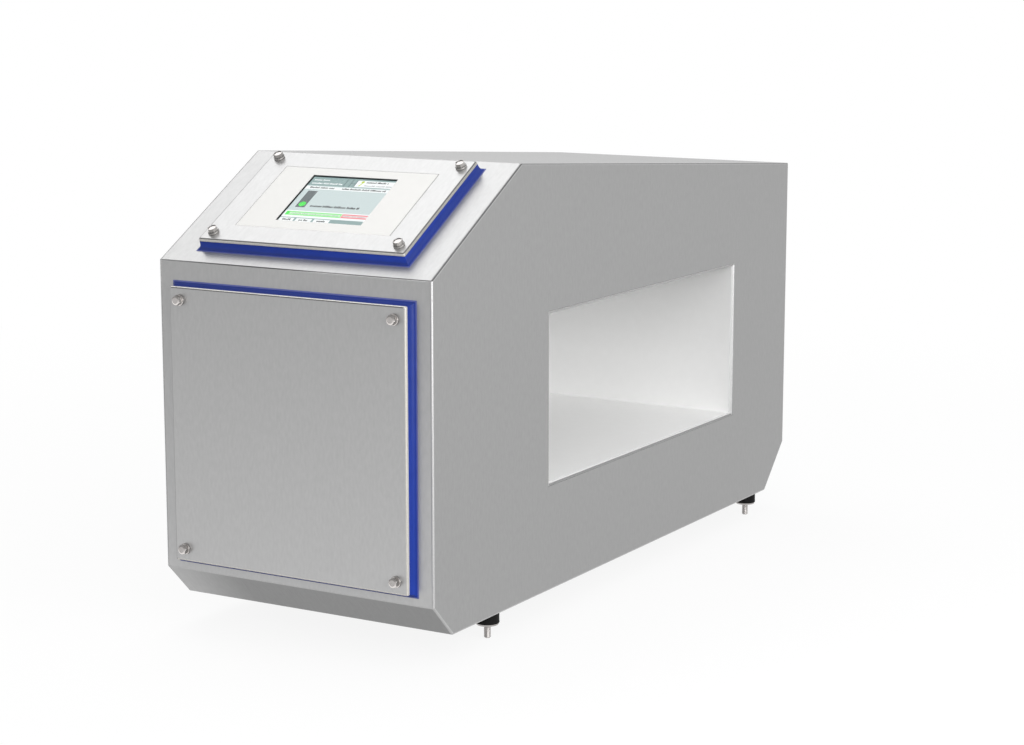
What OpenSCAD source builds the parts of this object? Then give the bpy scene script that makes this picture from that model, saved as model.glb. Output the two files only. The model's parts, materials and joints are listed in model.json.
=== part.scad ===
// Search head of a tunnel metal detector for food and packaging lines.
// X runs along the belt, +Y points from the operator's face to the rear, +Z is up.
// The origin lies under the middle of the machine, level with the tips of its feet.
// All lengths are in millimetres.

/* [Housing] */
// Width of the housing along the belt
housing_w = 365; // [345:5:400]
// Length of the housing across the belt, from the front face to the rear face
housing_len = 924; // [900:2:980]
// Height of the upper edge of the front face above the underside
front_h = 396; // [385:1:415]
// Height of the upper edge of the rear face above the underside
rear_h = 453; // [430:1:480]
// Length of the operator's slope, measured up the slope
slope_len = 218.5; // [210:0.5:235]
// Angle of the operator's slope to the level
slope_angle = 30.3; // [28:0.1:34]
// Depth and height of the cut-off lower front edge
front_chamfer = 38.8; // [25:0.1:44]
// Depth and height of the cut-off lower rear edge
rear_chamfer = 59.5; // [40:0.5:70]
// Thickness of the stainless steel sheet
sheet_t = 2.5; // [2:0.1:3]

/* [Tunnel] */
// Distance from the front face to the near wall of the tunnel
aperture_y = 254; // [246:1:280]
// Distance from the far wall of the tunnel to the rear face
rear_space = 175; // [150:1:230]
// Clear height of the tunnel
aperture_h = 198; // [150:1:210]
// Height of the tunnel floor above the underside
aperture_z = 129.5; // [110:0.5:145]
// Thickness of the plastic liner's walls
liner_wall = 6; // [4:0.5:8]
// Size of the 45 degree bevel around each mouth of the liner
mouth_bevel = 3.2; // [2:0.1:4]
// Reach of the liner's end flanges beyond the cut-outs in the side panels
flange_reach = 15; // [10:1:18]
// Thickness of the liner's end flanges
flange_t = 4; // [3:0.5:6]
// Thickness of the flat seals between the liner and the side panels
liner_seal_t = 1.5; // [1:0.1:2]

/* [Coils] */
// Distance between neighbouring coils along the belt
coil_pitch = 80; // [60:1:95]
// Width of one coil winding
coil_w = 16; // [12:1:20]
// Depth of one coil winding
coil_depth = 7; // [5:0.5:9]
// Height of the former's ribs, which is the depth of its winding channels
rib_h = 12; // [10:0.5:14]
// Thickness of the former's ribs
rib_t = 3; // [2:0.5:5]
// Thickness of the former's walls
former_wall = 4; // [3:0.5:5]

/* [Covers] */
// Width of the front cover plate
cover_w = 316; // [300:1:330]
// Height of the front cover plate
cover_h = 316; // [300:1:325]
// Height of the front cover's lower edge above the underside
cover_rise = 52.8; // [49:0.1:56]
// Distance of the front cover's screws from its edges
cover_inset = 14.6; // [13:0.1:16]
// Width of the front cover's rim outside the service window
cover_rim = 34; // [30:0.5:40]
// Width of the control panel plate
panel_w = 276; // [266:1:290]
// Length of the control panel plate up the slope
panel_h = 174.5; // [170:0.5:178]
// Distance of the control panel's lower edge from the lower end of the slope
panel_rise = 25; // [18:0.5:27]
// Distance of the control panel's screws from its edges
panel_inset = 13.5; // [12:0.1:15]
// Thickness of both plates
lid_t = 4; // [3:0.1:5]
// Thickness of the raised silicone gaskets under both plates
gasket_t = 10.2; // [8:0.1:12]
// How far the gaskets spread beyond the plates at their foot
gasket_flare = 3.6; // [2:0.1:5]

/* [Display] */
// Width of the visible picture
screen_w = 115.2; // [100:0.1:125]
// Height of the visible picture
screen_h = 88; // [80:0.5:92]
// Width of the decor foil on the control panel
foil_w = 209; // [195:1:220]
// Height of the decor foil on the control panel
foil_h = 117; // [110:0.5:122]
// Thickness of the decor foil
foil_t = 0.4; // [0.2:0.1:0.6]
// Thickness of the touch glass
glass_t = 1.8; // [1.1:0.1:2]
// Depth of the rear cover of the control panel below the sheet of the slope
back_depth = 24; // [20:1:30]

/* [Screws] */
// Thread diameter of the cover screws
screw_d = 6; // [5:0.5:7]
// Width across flats of the screw heads
screw_af = 10; // [9:0.5:11]
// Height of the hexagon of the screw heads
screw_hex_h = 5.6; // [4:0.1:7]
// Diameter of the round collar under the hexagon
collar_d = 13.5; // [12:0.5:15]
// Thickness of the round collar
collar_t = 1.8; // [1.2:0.1:2.5]
// Depth to which the screws reach into their bushes
screw_grip = 9; // [7:0.5:12]

/* [Feet] */
// Diameter of the rubber buffers
buffer_d = 28; // [24:0.5:30]
// Height of the buffers, bonded discs included
buffer_h = 18; // [15:0.5:22]
// Diameter of the studs
stud_d = 8; // [6:1:10]
// Length of the lower studs, which pass through the machine frame
stud_len = 16; // [12:0.5:20]
// Distance of the feet from the side faces of the housing
foot_inset = 22.5; // [20:0.5:40]
// Distance of the front feet from the front face
front_foot_y = 149; // [140:1:155]
// Distance of the rear feet from the cut-off lower rear edge
rear_foot_edge = 15.5; // [15:0.5:40]

/* [Electronics bay] */
// Distance from the front face to the bulkhead behind the electronics
bulkhead_y = 210; // [206:0.5:214]
// Thickness of the bulkhead
bulkhead_t = 2; // [1.5:0.1:2.5]
// Width of the mounting plate
plate_w = 280; // [274:1:300]
// Height of the mounting plate
plate_h = 300; // [296:1:312]
// Height of the mounting plate's lower edge above the underside
plate_rise = 62; // [50:1:66]
// Thickness of the mounting plate
plate_t = 2; // [1.5:0.1:3]
// Length of the pillars between the bulkhead and the mounting plate
pillar_len = 14; // [10:0.5:16]
// Space between neighbouring devices and along the edges of the mounting plate
device_gap = 10; // [8:0.5:12]
// Width of the power supply
supply_w = 98; // [90:1:102]
// Depth of the power supply
supply_depth = 38; // [30:1:42]
// Height of the main board and of the power supply
main_board_h = 130; // [124:1:132]
// Height of the receiver board and of the drive board
small_board_h = 84; // [80:1:86]
// Thickness of all circuit boards
board_t = 1.6; // [1:0.1:2.4]
// Length of the spacers behind the circuit boards
spacer_len = 8; // [6:0.5:10]
// Height of the terminal blocks
terminal_h = 44; // [40:1:46]
// Depth of the terminal blocks in front of their rail
terminal_depth = 32; // [26:1:40]

/* [Cable glands] */
// Thread diameter of the cable glands
gland_d = 20; // [16:1:22]
// Width across flats of the gland bodies
gland_af = 24; // [23:0.5:27]
// Length of the domed gland caps
cap_len = 17; // [15:0.5:19]
// Bore of the rubber inserts, which grip the cables
insert_bore = 9; // [6:0.5:10]
// Length of the rubber inserts
insert_len = 16; // [12:0.5:17]
// Distance between neighbouring glands
gland_pitch = 45; // [38:1:48]
// Distance of the glands from the front face
gland_y = 164; // [150:1:170]

/* [Hidden] */
$fn = 48;

// Fits and overruns
over = 1;              // overrun of every cut
slip = 0.3;            // gap beside what is placed by hand
thread_fit = 0.05;     // gap around a screw in its thread
screw_play = 0.5;      // gap around a screw in a plate

// Outline of the housing seen from the side, as [y, z] points
function up_slope(s, n) = [
    s * cos(slope_angle) - n * sin(slope_angle),
    front_h + s * sin(slope_angle) + n * cos(slope_angle)
];
outline = [
    [front_chamfer, 0], [housing_len - rear_chamfer, 0],
    [housing_len, rear_chamfer], [housing_len, rear_h],
    up_slope(slope_len, 0), [0, front_h], [0, front_chamfer]
];
function unit(v) = v / norm(v);
// The corner b between the edges a-b and b-c, moved inwards by d
function inner_corner(a, b, c, d) = let (
    u = unit(b - a),
    v = unit(c - b),
    turn = u[0] * v[1] - u[1] * v[0]
) b + d * (v - u) / turn;
function inset(points, d) = let (n = len(points)) [
    for (i = [0:n - 1])
        inner_corner(points[(i + n - 1) % n], points[i], points[(i + 1) % n], d)
];
inner_outline = inset(outline, sheet_t);

// Screws, washers and bushes of both covers
seal_t = 1;                                  // thickness of the sealing washers
seal_setback = 0.75;                         // the collar hides them by this much
seal_d = collar_d - 2 * seal_setback;
bush_wall = 3;                               // wall of a threaded bush
bush_end = 2;                                // closed end of a threaded bush
tip_gap = 1;                                 // room in front of a screw's tip
head_crown = 9;                              // radius of the screw head's crown
lid_front = gasket_t + lid_t;                // height of a lid's face on the housing
head_h = collar_t + screw_hex_h;
bush_depth = screw_grip + tip_gap;
bush_d = screw_d + 2 * bush_wall;
front_reach = lid_front + seal_t + head_h;   // how far the screws stand out in front
gasket_edge = 0.8;                           // thickness of the gaskets' foot edge

// Place of the whole machine in its own frame
middle_y = (housing_len - front_reach) / 2;
floor_drop = buffer_h + stud_len;

// Tunnel liner
aperture_w = housing_len - aperture_y - rear_space;  // clear width across the belt
mouth_land = 0.3;                            // flat edge between bevel and steel
mouth_gap = 0.3;                             // gap between the liner's lip and the steel
mouth_w = aperture_w + 2 * (mouth_bevel + mouth_land + mouth_gap);
mouth_h = aperture_h + 2 * (mouth_bevel + mouth_land + mouth_gap);
bay_w = housing_w - 2 * sheet_t;             // clear width between the side panels
liner_len = bay_w - 2 * liner_seal_t;        // over the outer faces of the flanges
tunnel_y = aperture_y + aperture_w / 2;
tunnel_z = aperture_z + aperture_h / 2;
flange_w = mouth_w + 2 * flange_reach;
flange_h = mouth_h + 2 * flange_reach;

// Coil former and windings, as sizes added to the clear tunnel on each side
coil_corner = 12;                            // corner radius of the coils
former_end = 16;                             // former beyond its outermost ribs
former_in = liner_wall + slip;
former_out = former_in + former_wall;
coil_in = former_out + slip;
coil_out = coil_in + coil_depth;
potting_in = coil_out + slip;
rib_out = former_out + rib_h;
former_corner = coil_corner - coil_depth - slip;
former_len = 2 * coil_pitch + coil_w + 2 * rib_t + 2 * former_end;

// Coil cable
cable_d = 8;
grommet_wall = 3;
grommet_lip = 2;
cable_x = -coil_pitch / 2;

// Mounting plate and what stands on it, seen from the front
pillar_d = 10;
pillar_stud_d = 5;
pillar_stud_len = 6;
nut_af_share = 1.6;                          // nut width over thread diameter
nut_h_share = 0.8;                           // nut height over thread diameter
plate_y = bulkhead_y - pillar_len - plate_t;
small_row_z = plate_rise + device_gap + terminal_h + device_gap;
main_row_z = small_row_z + small_board_h + device_gap;
left_x = device_gap - plate_w / 2;
main_x = left_x + supply_w + device_gap;
main_board_w = plate_w / 2 - device_gap - main_x;
small_board_w = (plate_w - 3 * device_gap) / 2;
drive_x = device_gap / 2;
supply_vents = 7;
supply_vent_w = 3;
supply_vent_d = 1.2;
spacer_d = 6;
spacer_inset = 6;                            // board screws from the board's corners
board_screw_d = 3;
board_screw_head_d = 5.6;
board_screw_head_h = 2;
board_face = spacer_len + board_t;
cooler_size = 42;
cooler_base = 3;
fin_h = 9;
socket_inset = 1;                            // sockets from the board's edge
fin_t = 1.5;
fins = 8;
socket_h = 10;
socket_depth = 9;
socket_len = 22;
socket_pitch = 34;
socket_row_end = 48;                         // free stretch beside the main board's sockets
can_w = 60;
can_h = 40;
can_depth = 12;
can_wall = 0.6;
sink_w = 70;
sink_h = 30;
sink_depth = 16;
cap_box_w = 18;
cap_box_h = 25;
cap_box_gap = 2;
cap_box_depth = 14;
cap_boxes = 4;
rail_h = 35;
rail_rise = 7.5;
rail_sheet = 1;
rail_lip = 5;
terminal_w = 6;
terminal_gap = 0.2;
terminals = 24;
terminal_step = 10;                          // height of the lower wire entries
clamp_w = 9;

// Display behind the control panel
touch_rim = 7.7;                             // hidden rim of the touch glass
recess_gap = 0.4;                            // cut-outs around the picture
module_rim = 7.4;                            // hidden rim of the display module
module_t = 8;
frame_t = 1.5;
frame_lip = 12;
back_wall = 1.2;
module_gap = 1.5;                            // between the module and the back cover
window_gap = 3;                              // between the back cover and the window
glass_w = screen_w + 2 * touch_rim;
glass_h = screen_h + 2 * touch_rim;
module_w = screen_w + 2 * module_rim;
module_h = screen_h + 2 * module_rim;
frame_w = module_w + 2 * frame_lip;
back_w = frame_w + 2 * (module_gap + back_wall);
back_h = module_h + 2 * (module_gap + back_wall);
panel_window_w = back_w + 2 * window_gap;
panel_window_h = back_h + 2 * window_gap;
cover_window_w = cover_w - 2 * cover_rim;
cover_window_h = cover_h - 2 * cover_rim;
panel_socket_h = 5;
panel_socket_w = 44;
panel_socket_t = 12;
plug_w = 38;
plug_h = 9;
plug_t = 8;
ribbon_w = 34;
ribbon_t = 1.2;
ribbon_straight = 12;

// Feet
disc_t = 2;                                  // bonded steel discs of the buffers
disc_inset = 1;                              // discs inside the rubber's outline
foot_bush_wall = 6;
foot_bush_h = 16;
upper_stud_len = 13;
thread_mean_share = 0.9;                     // mean thread diameter, as a share of its size
upper_stud_d = stud_d * thread_mean_share;   // a stud inside its thread is drawn at the mean
stud_chamfer = 1;
stud_play = 0.5;
rear_foot_y = housing_len - rear_chamfer - rear_foot_edge;

// Cable glands, vent and earth point in the underside
gland_count = 4;
gland_hex_h = 5;
gland_stem_len = 7;
gland_wall = 2.5;
locknut_h = 5;
locknut_over = 4;
stem_over = 1.5;
cap_wall = 2;
cap_dome = 6;
gland_middle_x = -42;
vent_y = 112;
vent_x = 60;
vent_thread_d = 12;
vent_head_d = 18;
vent_head_h = 6;
vent_slot_w = 1.5;
vent_slots = 6;
earth_x = 100;
earth_y = 140;
earth_d = 6;
earth_out = 15;
earth_in = 10;

// Puts the machine over its origin
module in_place() translate([0, -middle_y, floor_drop]) children();

// Front face: x to the right, y up, z towards the operator
module on_front() in_place() translate([0, 0, cover_rise]) rotate([90, 0, 0]) children();
// Slope: x to the right, y up the slope, z away from it
module on_slope()
    in_place() translate([0, 0, front_h]) rotate([slope_angle, 0, 0])
        translate([0, panel_rise, 0]) children();
// Mounting plate: x to the right, y up, z towards the operator
module on_plate() in_place() translate([0, plate_y, 0]) rotate([90, 0, 0]) children();
// Middle of the tunnel
module at_tunnel() in_place() translate([0, tunnel_y, tunnel_z]) children();

module centred_box(size) translate(-size / 2) cube(size);
module hexagon(af, h) cylinder(d = af / cos(30), h = h, $fn = 6);
module bored_cylinder(d, bore, h) difference() {
    cylinder(d = d, h = h);
    translate([0, 0, -over]) cylinder(d = bore, h = h + 2 * over);
}
// A flat shape in the YZ plane, drawn in [y, z] and given a width along X
module across(width) rotate([90, 0, 90]) translate([0, 0, -width / 2])
    linear_extrude(height = width) children();
// Rectangle with round corners, about its centre
module round_rectangle(w, h, r) {
    square([w - 2 * r, h], center = true);
    square([w, h - 2 * r], center = true);
    for (x = [-1, 1], y = [-1, 1])
        translate([x * (w / 2 - r), y * (h / 2 - r)]) circle(r = r);
}
// Frame around the tunnel whose edges lie so far outside the clear tunnel
module tunnel_ring(inside, outside, width, r = 0) across(width) difference() {
    if (r > 0) round_rectangle(aperture_w + 2 * outside, aperture_h + 2 * outside, r);
    else square([aperture_w + 2 * outside, aperture_h + 2 * outside], center = true);
    if (r > outside - inside)
        round_rectangle(
            aperture_w + 2 * inside, aperture_h + 2 * inside, r - outside + inside
        );
    else square([aperture_w + 2 * inside, aperture_h + 2 * inside], center = true);
}

function corner_places(w, h, gap) = [
    for (x = [gap - w / 2, w / 2 - gap], y = [gap, h - gap]) [x, y, 0]
];
cover_places = corner_places(cover_w, cover_h, cover_inset);
panel_places = corner_places(panel_w, panel_h, panel_inset);
foot_places = [
    for (x = [foot_inset - housing_w / 2, housing_w / 2 - foot_inset])
        for (y = [front_foot_y, rear_foot_y]) [x, y, 0]
];
gland_places = [
    for (i = [0:gland_count - 1])
        [gland_middle_x + (i - (gland_count - 1) / 2) * gland_pitch, gland_y, 0]
];
module at_places(places) for (p = places) translate(p) children();

// Box over the middle of a lid, whose lower edge lies on y = 0
module lid_box(lid_h, w, h, z0, z1)
    translate([-w / 2, (lid_h - h) / 2, z0]) cube([w, h, z1 - z0]);

// Raised gasket with hollow sides and a spreading foot
module gasket(w, h, window_w, window_h, places) {
    rise = gasket_t - gasket_edge;
    hollow_r = (rise * rise + gasket_flare * gasket_flare) / (2 * gasket_flare);
    wide = w + 2 * gasket_flare;
    high = h + 2 * gasket_flare;
    difference() {
        translate([-wide / 2, -gasket_flare, 0]) cube([wide, high, gasket_t]);
        for (x = [-1, 1])
            translate([x * (w / 2 + hollow_r), high, gasket_t]) rotate([90, 0, 0])
                cylinder(r = hollow_r, h = high + 2 * gasket_flare);
        for (y = [-hollow_r, h + hollow_r])
            translate([-wide, y, gasket_t]) rotate([0, 90, 0])
                cylinder(r = hollow_r, h = 2 * wide);
        lid_box(h, window_w, window_h, -over, gasket_t + over);
        at_places(places) translate([0, 0, -over])
            cylinder(d = screw_d + 2 * screw_play, h = gasket_t + 2 * over);
    }
}

// Screw with collar, hexagon and crowned top, and its shank down to the bush
module lid_screw() translate([0, 0, lid_front + seal_t]) {
    cylinder(d1 = collar_d, d2 = collar_d - collar_t / 2, h = collar_t);
    intersection() {
        hexagon(screw_af, head_h);
        translate([0, 0, head_h - head_crown]) sphere(r = head_crown);
    }
    shank = seal_t + lid_front + sheet_t + screw_grip;
    translate([0, 0, -shank]) cylinder(d = screw_d, h = shank + collar_t / 2);
}
module lid_screw_seal() translate([0, 0, lid_front])
    bored_cylinder(seal_d, screw_d + 2 * thread_fit, seal_t);
module lid_bush() translate([0, 0, -sheet_t - bush_depth - bush_end]) difference() {
    cylinder(d = bush_d, h = bush_depth + bush_end);
    translate([0, 0, bush_end])
        cylinder(d = screw_d + 2 * thread_fit, h = bush_depth + over);
}
module lid_plate(w, h, places) difference() {
    translate([-w / 2, 0, gasket_t]) cube([w, h, lid_t]);
    at_places(places) translate([0, 0, gasket_t - over])
        cylinder(d = screw_d + 2 * screw_play, h = lid_t + 2 * over);
}
module sheet_hole(d) translate([0, 0, -sheet_t - over])
    cylinder(d = d, h = sheet_t + 2 * over);

// Housing
module housing_wrap() color("silver") difference() {
    in_place() across(bay_w) difference() {
        polygon(outline);
        polygon(inner_outline);
    }
    on_front() {
        lid_box(cover_h, cover_window_w, cover_window_h, -sheet_t - over, over);
        at_places(cover_places) sheet_hole(screw_d + 2 * screw_play);
    }
    on_slope() {
        lid_box(panel_h, panel_window_w, panel_window_h, -sheet_t - over, over);
        at_places(panel_places) sheet_hole(screw_d + 2 * screw_play);
    }
    in_place() translate([0, 0, sheet_t]) {
        at_places(foot_places) sheet_hole(stud_d + 2 * stud_play);
        at_places(gland_places) sheet_hole(gland_d + 2 * thread_fit);
        translate([vent_x, vent_y, 0]) sheet_hole(vent_thread_d + 2 * thread_fit);
        translate([earth_x, earth_y, 0]) sheet_hole(earth_d + 2 * thread_fit);
    }
}
module side_panel(side) difference() {
    in_place() translate([side * (housing_w - sheet_t) / 2, 0, 0])
        across(sheet_t) polygon(outline);
    at_tunnel() centred_box([housing_w + 2 * over, mouth_w, mouth_h]);
}
module side_panel_left() color("silver") side_panel(-1);
module side_panel_right() color("silver") side_panel(1);
module bulkhead() color("lightgray") difference() {
    in_place() intersection() {
        across(bay_w) polygon(inner_outline);
        translate([-housing_w, bulkhead_y, -over])
            cube([2 * housing_w, bulkhead_t, 2 * front_h]);
    }
    on_coil_cable() cylinder(
        d = cable_d + 2 * grommet_wall, h = 2 * bulkhead_t + 2 * over, center = true
    );
}
module cover_bushes() color("gray") on_front() at_places(cover_places) lid_bush();
module panel_bushes() color("gray") on_slope() at_places(panel_places) lid_bush();

// Tunnel
function flared(half) = let (
    end = housing_w / 2,
    flare = half + mouth_bevel
) [
    [-end - over, flare + over], [mouth_bevel - end, half],
    [end - mouth_bevel, half], [end + over, flare + over],
    [end + over, -flare - over], [end - mouth_bevel, -half],
    [mouth_bevel - end, -half], [-end - over, -flare - over]
];
module tunnel_space() intersection() {
    linear_extrude(height = 2 * aperture_h, center = true) polygon(flared(aperture_w / 2));
    rotate([90, 0, 0]) linear_extrude(height = 2 * aperture_w, center = true)
        polygon(flared(aperture_h / 2));
}
module tunnel_liner() color("white") at_tunnel() difference() {
    union() {
        centred_box([liner_len, aperture_w + 2 * liner_wall, aperture_h + 2 * liner_wall]);
        for (side = [-1, 1]) translate([side * (liner_len - flange_t) / 2, 0, 0])
            centred_box([flange_t, flange_w, flange_h]);
        centred_box([housing_w, mouth_w - 2 * mouth_gap, mouth_h - 2 * mouth_gap]);
    }
    tunnel_space();
}
module liner_seal(side) at_tunnel() translate([side * (bay_w - liner_seal_t) / 2, 0, 0])
    across(liner_seal_t) difference() {
        square([flange_w, flange_h], center = true);
        square([mouth_w, mouth_h], center = true);
    }
module liner_seal_left() color("dimgray") liner_seal(-1);
module liner_seal_right() color("dimgray") liner_seal(1);

// Coils
module coil_former() color("khaki") at_tunnel() {
    tunnel_ring(former_in, former_out, former_len, former_corner);
    for (i = [-1:1], side = [-1, 1])
        translate([i * coil_pitch + side * (coil_w + rib_t) / 2, 0, 0])
            tunnel_ring(former_in, rib_out, rib_t, coil_corner);
}
module coil(i) at_tunnel() translate([i * coil_pitch, 0, 0])
    tunnel_ring(coil_in, coil_out, coil_w, coil_corner);
module receive_coil_left() color("peru") coil(-1);
module transmit_coil() color("chocolate") coil(0);
module receive_coil_right() color("peru") coil(1);
module coil_potting() color("midnightblue") at_tunnel()
    for (i = [-1:1]) translate([i * coil_pitch, 0, 0])
        tunnel_ring(potting_in, rib_out, coil_w, coil_corner);
module potting_foam() color("wheat") difference() {
    in_place() intersection() {
        across(bay_w) polygon(inner_outline);
        translate([-housing_w, bulkhead_y + bulkhead_t, 0])
            cube([2 * housing_w, housing_len, 2 * front_h]);
    }
    at_tunnel() {
        centred_box([2 * housing_w, aperture_w + 2 * liner_wall, aperture_h + 2 * liner_wall]);
        for (side = [-1, 1]) translate([side * (housing_w + liner_len - 2 * flange_t) / 2, 0, 0])
            centred_box([housing_w, flange_w, flange_h]);
        centred_box([former_len, aperture_w + 2 * rib_out, aperture_h + 2 * rib_out]);
    }
    in_place() at_places(foot_places)
        cylinder(r = stud_d / 2 + foot_bush_wall + slip, h = sheet_t + foot_bush_h + slip);
    on_coil_cable() cylinder(
        d = cable_d + 2 * grommet_wall + 2 * grommet_lip + 2 * slip,
        h = 2 * (aperture_y - bulkhead_y), center = true
    );
}
// Coil cable: z runs from the bulkhead's front face to the rear
module on_coil_cable() in_place()
    translate([cable_x, bulkhead_y, small_row_z + small_board_h / 2])
        rotate([-90, 0, 0]) children();
module coil_cable() color("black") on_coil_cable() {
    front = pillar_len + plate_t + spacer_len;   // its end meets the receiver board
    translate([0, 0, -front])
        cylinder(d = cable_d, h = front + aperture_y - former_out - bulkhead_y);
}
module bulkhead_grommet() color("dimgray") on_coil_cable() difference() {
    union() {
        cylinder(d = cable_d + 2 * grommet_wall, h = bulkhead_t);
        for (z = [-grommet_lip, bulkhead_t]) translate([0, 0, z])
            cylinder(d = cable_d + 2 * grommet_wall + 2 * grommet_lip, h = grommet_lip);
    }
    translate([0, 0, -grommet_lip - over])
        cylinder(d = cable_d + 2 * thread_fit, h = bulkhead_t + 2 * grommet_lip + 2 * over);
}

// Mounting plate
pillar_places = [
    for (p = corner_places(plate_w, plate_h, device_gap / 2)) p + [0, plate_rise, 0]
];
module plate_pillars() color("gray") on_plate() at_places(pillar_places) {
    translate([0, 0, -plate_t - pillar_len]) cylinder(d = pillar_d, h = pillar_len);
    translate([0, 0, -plate_t - over])
        cylinder(d = pillar_stud_d, h = plate_t + over + pillar_stud_len);
}
module mounting_plate() color("gainsboro") difference() {
    on_plate() translate([-plate_w / 2, plate_rise, -plate_t]) cube([plate_w, plate_h, plate_t]);
    on_plate() at_places(pillar_places) translate([0, 0, -plate_t - over])
        cylinder(d = pillar_stud_d + 2 * thread_fit, h = plate_t + 2 * over);
    on_coil_cable() cylinder(
        d = cable_d + 2 * screw_play, h = 2 * (pillar_len + plate_t + over), center = true
    );
}
module nut(d) difference() {
    hexagon(nut_af_share * d, nut_h_share * d);
    translate([0, 0, -over]) cylinder(d = d + 2 * thread_fit, h = nut_h_share * d + 2 * over);
}
module plate_nuts() color("silver") on_plate() at_places(pillar_places) nut(pillar_stud_d);

module power_supply() color("lightgray") on_plate()
    translate([left_x, main_row_z, 0]) difference() {
        cube([supply_w, main_board_h, supply_depth]);
        for (i = [1:supply_vents])
            translate([device_gap, i * main_board_h / (supply_vents + 1), supply_depth - supply_vent_d])
                cube([supply_w - 2 * device_gap, supply_vent_w, supply_vent_d + over]);
    }

// Circuit boards: a board is [x, y, width, height] on the mounting plate
main_place = [main_x, main_row_z, main_board_w, main_board_h];
receiver_place = [left_x, small_row_z, small_board_w, small_board_h];
drive_place = [drive_x, small_row_z, small_board_w, small_board_h];
function spacer_places(board) = [
    for (x = [spacer_inset, board[2] - spacer_inset])
        for (y = [spacer_inset, board[3] - spacer_inset]) [board[0] + x, board[1] + y, 0]
];
all_spacer_places = [
    for (board = [main_place, receiver_place, drive_place])
        for (p = spacer_places(board)) p
];
module board(place) on_plate() difference() {
    translate([place[0], place[1], spacer_len]) cube([place[2], place[3], board_t]);
    at_places(spacer_places(place)) translate([0, 0, spacer_len - over])
        cylinder(d = board_screw_d + 2 * thread_fit, h = board_t + 2 * over);
}
module main_board() color("darkgreen") board(main_place);
module receiver_board() color("darkgreen") board(receiver_place);
module drive_board() color("darkgreen") board(drive_place);
module board_spacers() color("gold") on_plate() at_places(all_spacer_places)
    bored_cylinder(spacer_d, board_screw_d + 2 * thread_fit, spacer_len);
module board_screws() color("silver") on_plate() at_places(all_spacer_places) {
    translate([0, 0, board_face]) cylinder(d = board_screw_head_d, h = board_screw_head_h);
    cylinder(d = board_screw_d, h = board_face + board_screw_head_h);
}
// Finned block of the given size on a board
module finned_block(w, h, depth) {
    cube([w, h, cooler_base]);
    for (i = [0:fins - 1]) translate([i * (w - fin_t) / (fins - 1), 0, 0])
        cube([fin_t, h, depth]);
}
module processor_cooler() color("darkslategray") on_plate() translate([
    main_x + (main_board_w - cooler_size) / 2, main_row_z + (main_board_h - cooler_size) / 2,
    board_face
]) finned_block(cooler_size, cooler_size, cooler_base + fin_h);
ribbon_x = main_x + main_board_w / 2;
socket_row = main_board_w - 2 * spacer_inset - socket_row_end;
socket_count = floor((socket_row - socket_len) / socket_pitch) + 1;
module board_sockets() color("ivory") on_plate() translate([0, 0, board_face]) {
    translate([ribbon_x - ribbon_w / 2, main_row_z + main_board_h - socket_h, 0])
        cube([ribbon_w, socket_h, socket_depth]);
    for (i = [0:socket_count - 1])
        translate([main_x + 2 * spacer_inset + i * socket_pitch, main_row_z + socket_inset, 0])
            cube([socket_len, socket_h, socket_depth]);
    for (x = [left_x, drive_x])
        translate([x + (small_board_w - socket_len) / 2, small_row_z + socket_inset, 0])
            cube([socket_len, socket_h, socket_depth]);
}
module screening_can() color("silver") on_plate() translate([
    left_x + (small_board_w - can_w) / 2, small_row_z + (small_board_h - can_h) / 2,
    board_face
]) difference() {
    cube([can_w, can_h, can_depth]);
    translate([can_wall, can_wall, -over])
        cube([can_w - 2 * can_wall, can_h - 2 * can_wall, can_depth - can_wall + over]);
}
module drive_heat_sink() color("dimgray") on_plate() translate([
    drive_x + (small_board_w - sink_w) / 2,
    small_row_z + small_board_h - sink_h - 2 * spacer_inset, board_face
]) finned_block(sink_w, sink_h, sink_depth);
module drive_capacitors() color("firebrick") on_plate()
    for (i = [0:cap_boxes - 1]) translate([
        drive_x + 2 * spacer_inset + i * (cap_box_w + cap_box_gap),
        small_row_z + socket_inset + socket_h + cap_box_gap, board_face
    ]) cube([cap_box_w, cap_box_h, cap_box_depth]);

rail_z = plate_rise + device_gap + terminal_h / 2;
rail_len = terminals * (terminal_w + terminal_gap) + 2 * (clamp_w + device_gap);
module mounting_rail() color("gainsboro") on_plate() translate([-rail_len / 2, rail_z, 0]) {
    inner_h = rail_h - 2 * rail_lip;
    translate([0, -inner_h / 2, 0]) cube([rail_len, inner_h, rail_sheet]);
    for (side = [-1, 1]) {
        translate([0, side * (inner_h - rail_sheet) / 2 - rail_sheet / 2, 0])
            cube([rail_len, rail_sheet, rail_rise]);
        translate([0, side * (inner_h + rail_lip) / 2 - rail_lip / 2, rail_rise - rail_sheet])
            cube([rail_len, rail_lip, rail_sheet]);
    }
}
// Side outline of a terminal block on the rail, stepped at both wire entries
module block_outline(h, depth) polygon([
    [rail_rise, -h / 2], [rail_rise + terminal_step, -h / 2],
    [rail_rise + depth, terminal_step - h / 2], [rail_rise + depth, h / 2 - terminal_step],
    [rail_rise + terminal_step, h / 2], [rail_rise, h / 2]
]);
module rail_block(x, w, h, depth) translate([x + w, rail_z, 0])
    rotate([0, -90, 0]) linear_extrude(height = w) block_outline(h, depth);
blocks_len = terminals * (terminal_w + terminal_gap) - terminal_gap;
module terminal_blocks() color("gray") on_plate() for (i = [0:terminals - 1])
    rail_block(
        i * (terminal_w + terminal_gap) - blocks_len / 2, terminal_w, terminal_h, terminal_depth
    );
module end_clamps() color("dimgray") on_plate()
    for (x = [-blocks_len / 2 - terminal_gap - clamp_w, blocks_len / 2 + terminal_gap])
        rail_block(x, clamp_w, terminal_h, terminal_depth - terminal_step);

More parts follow.
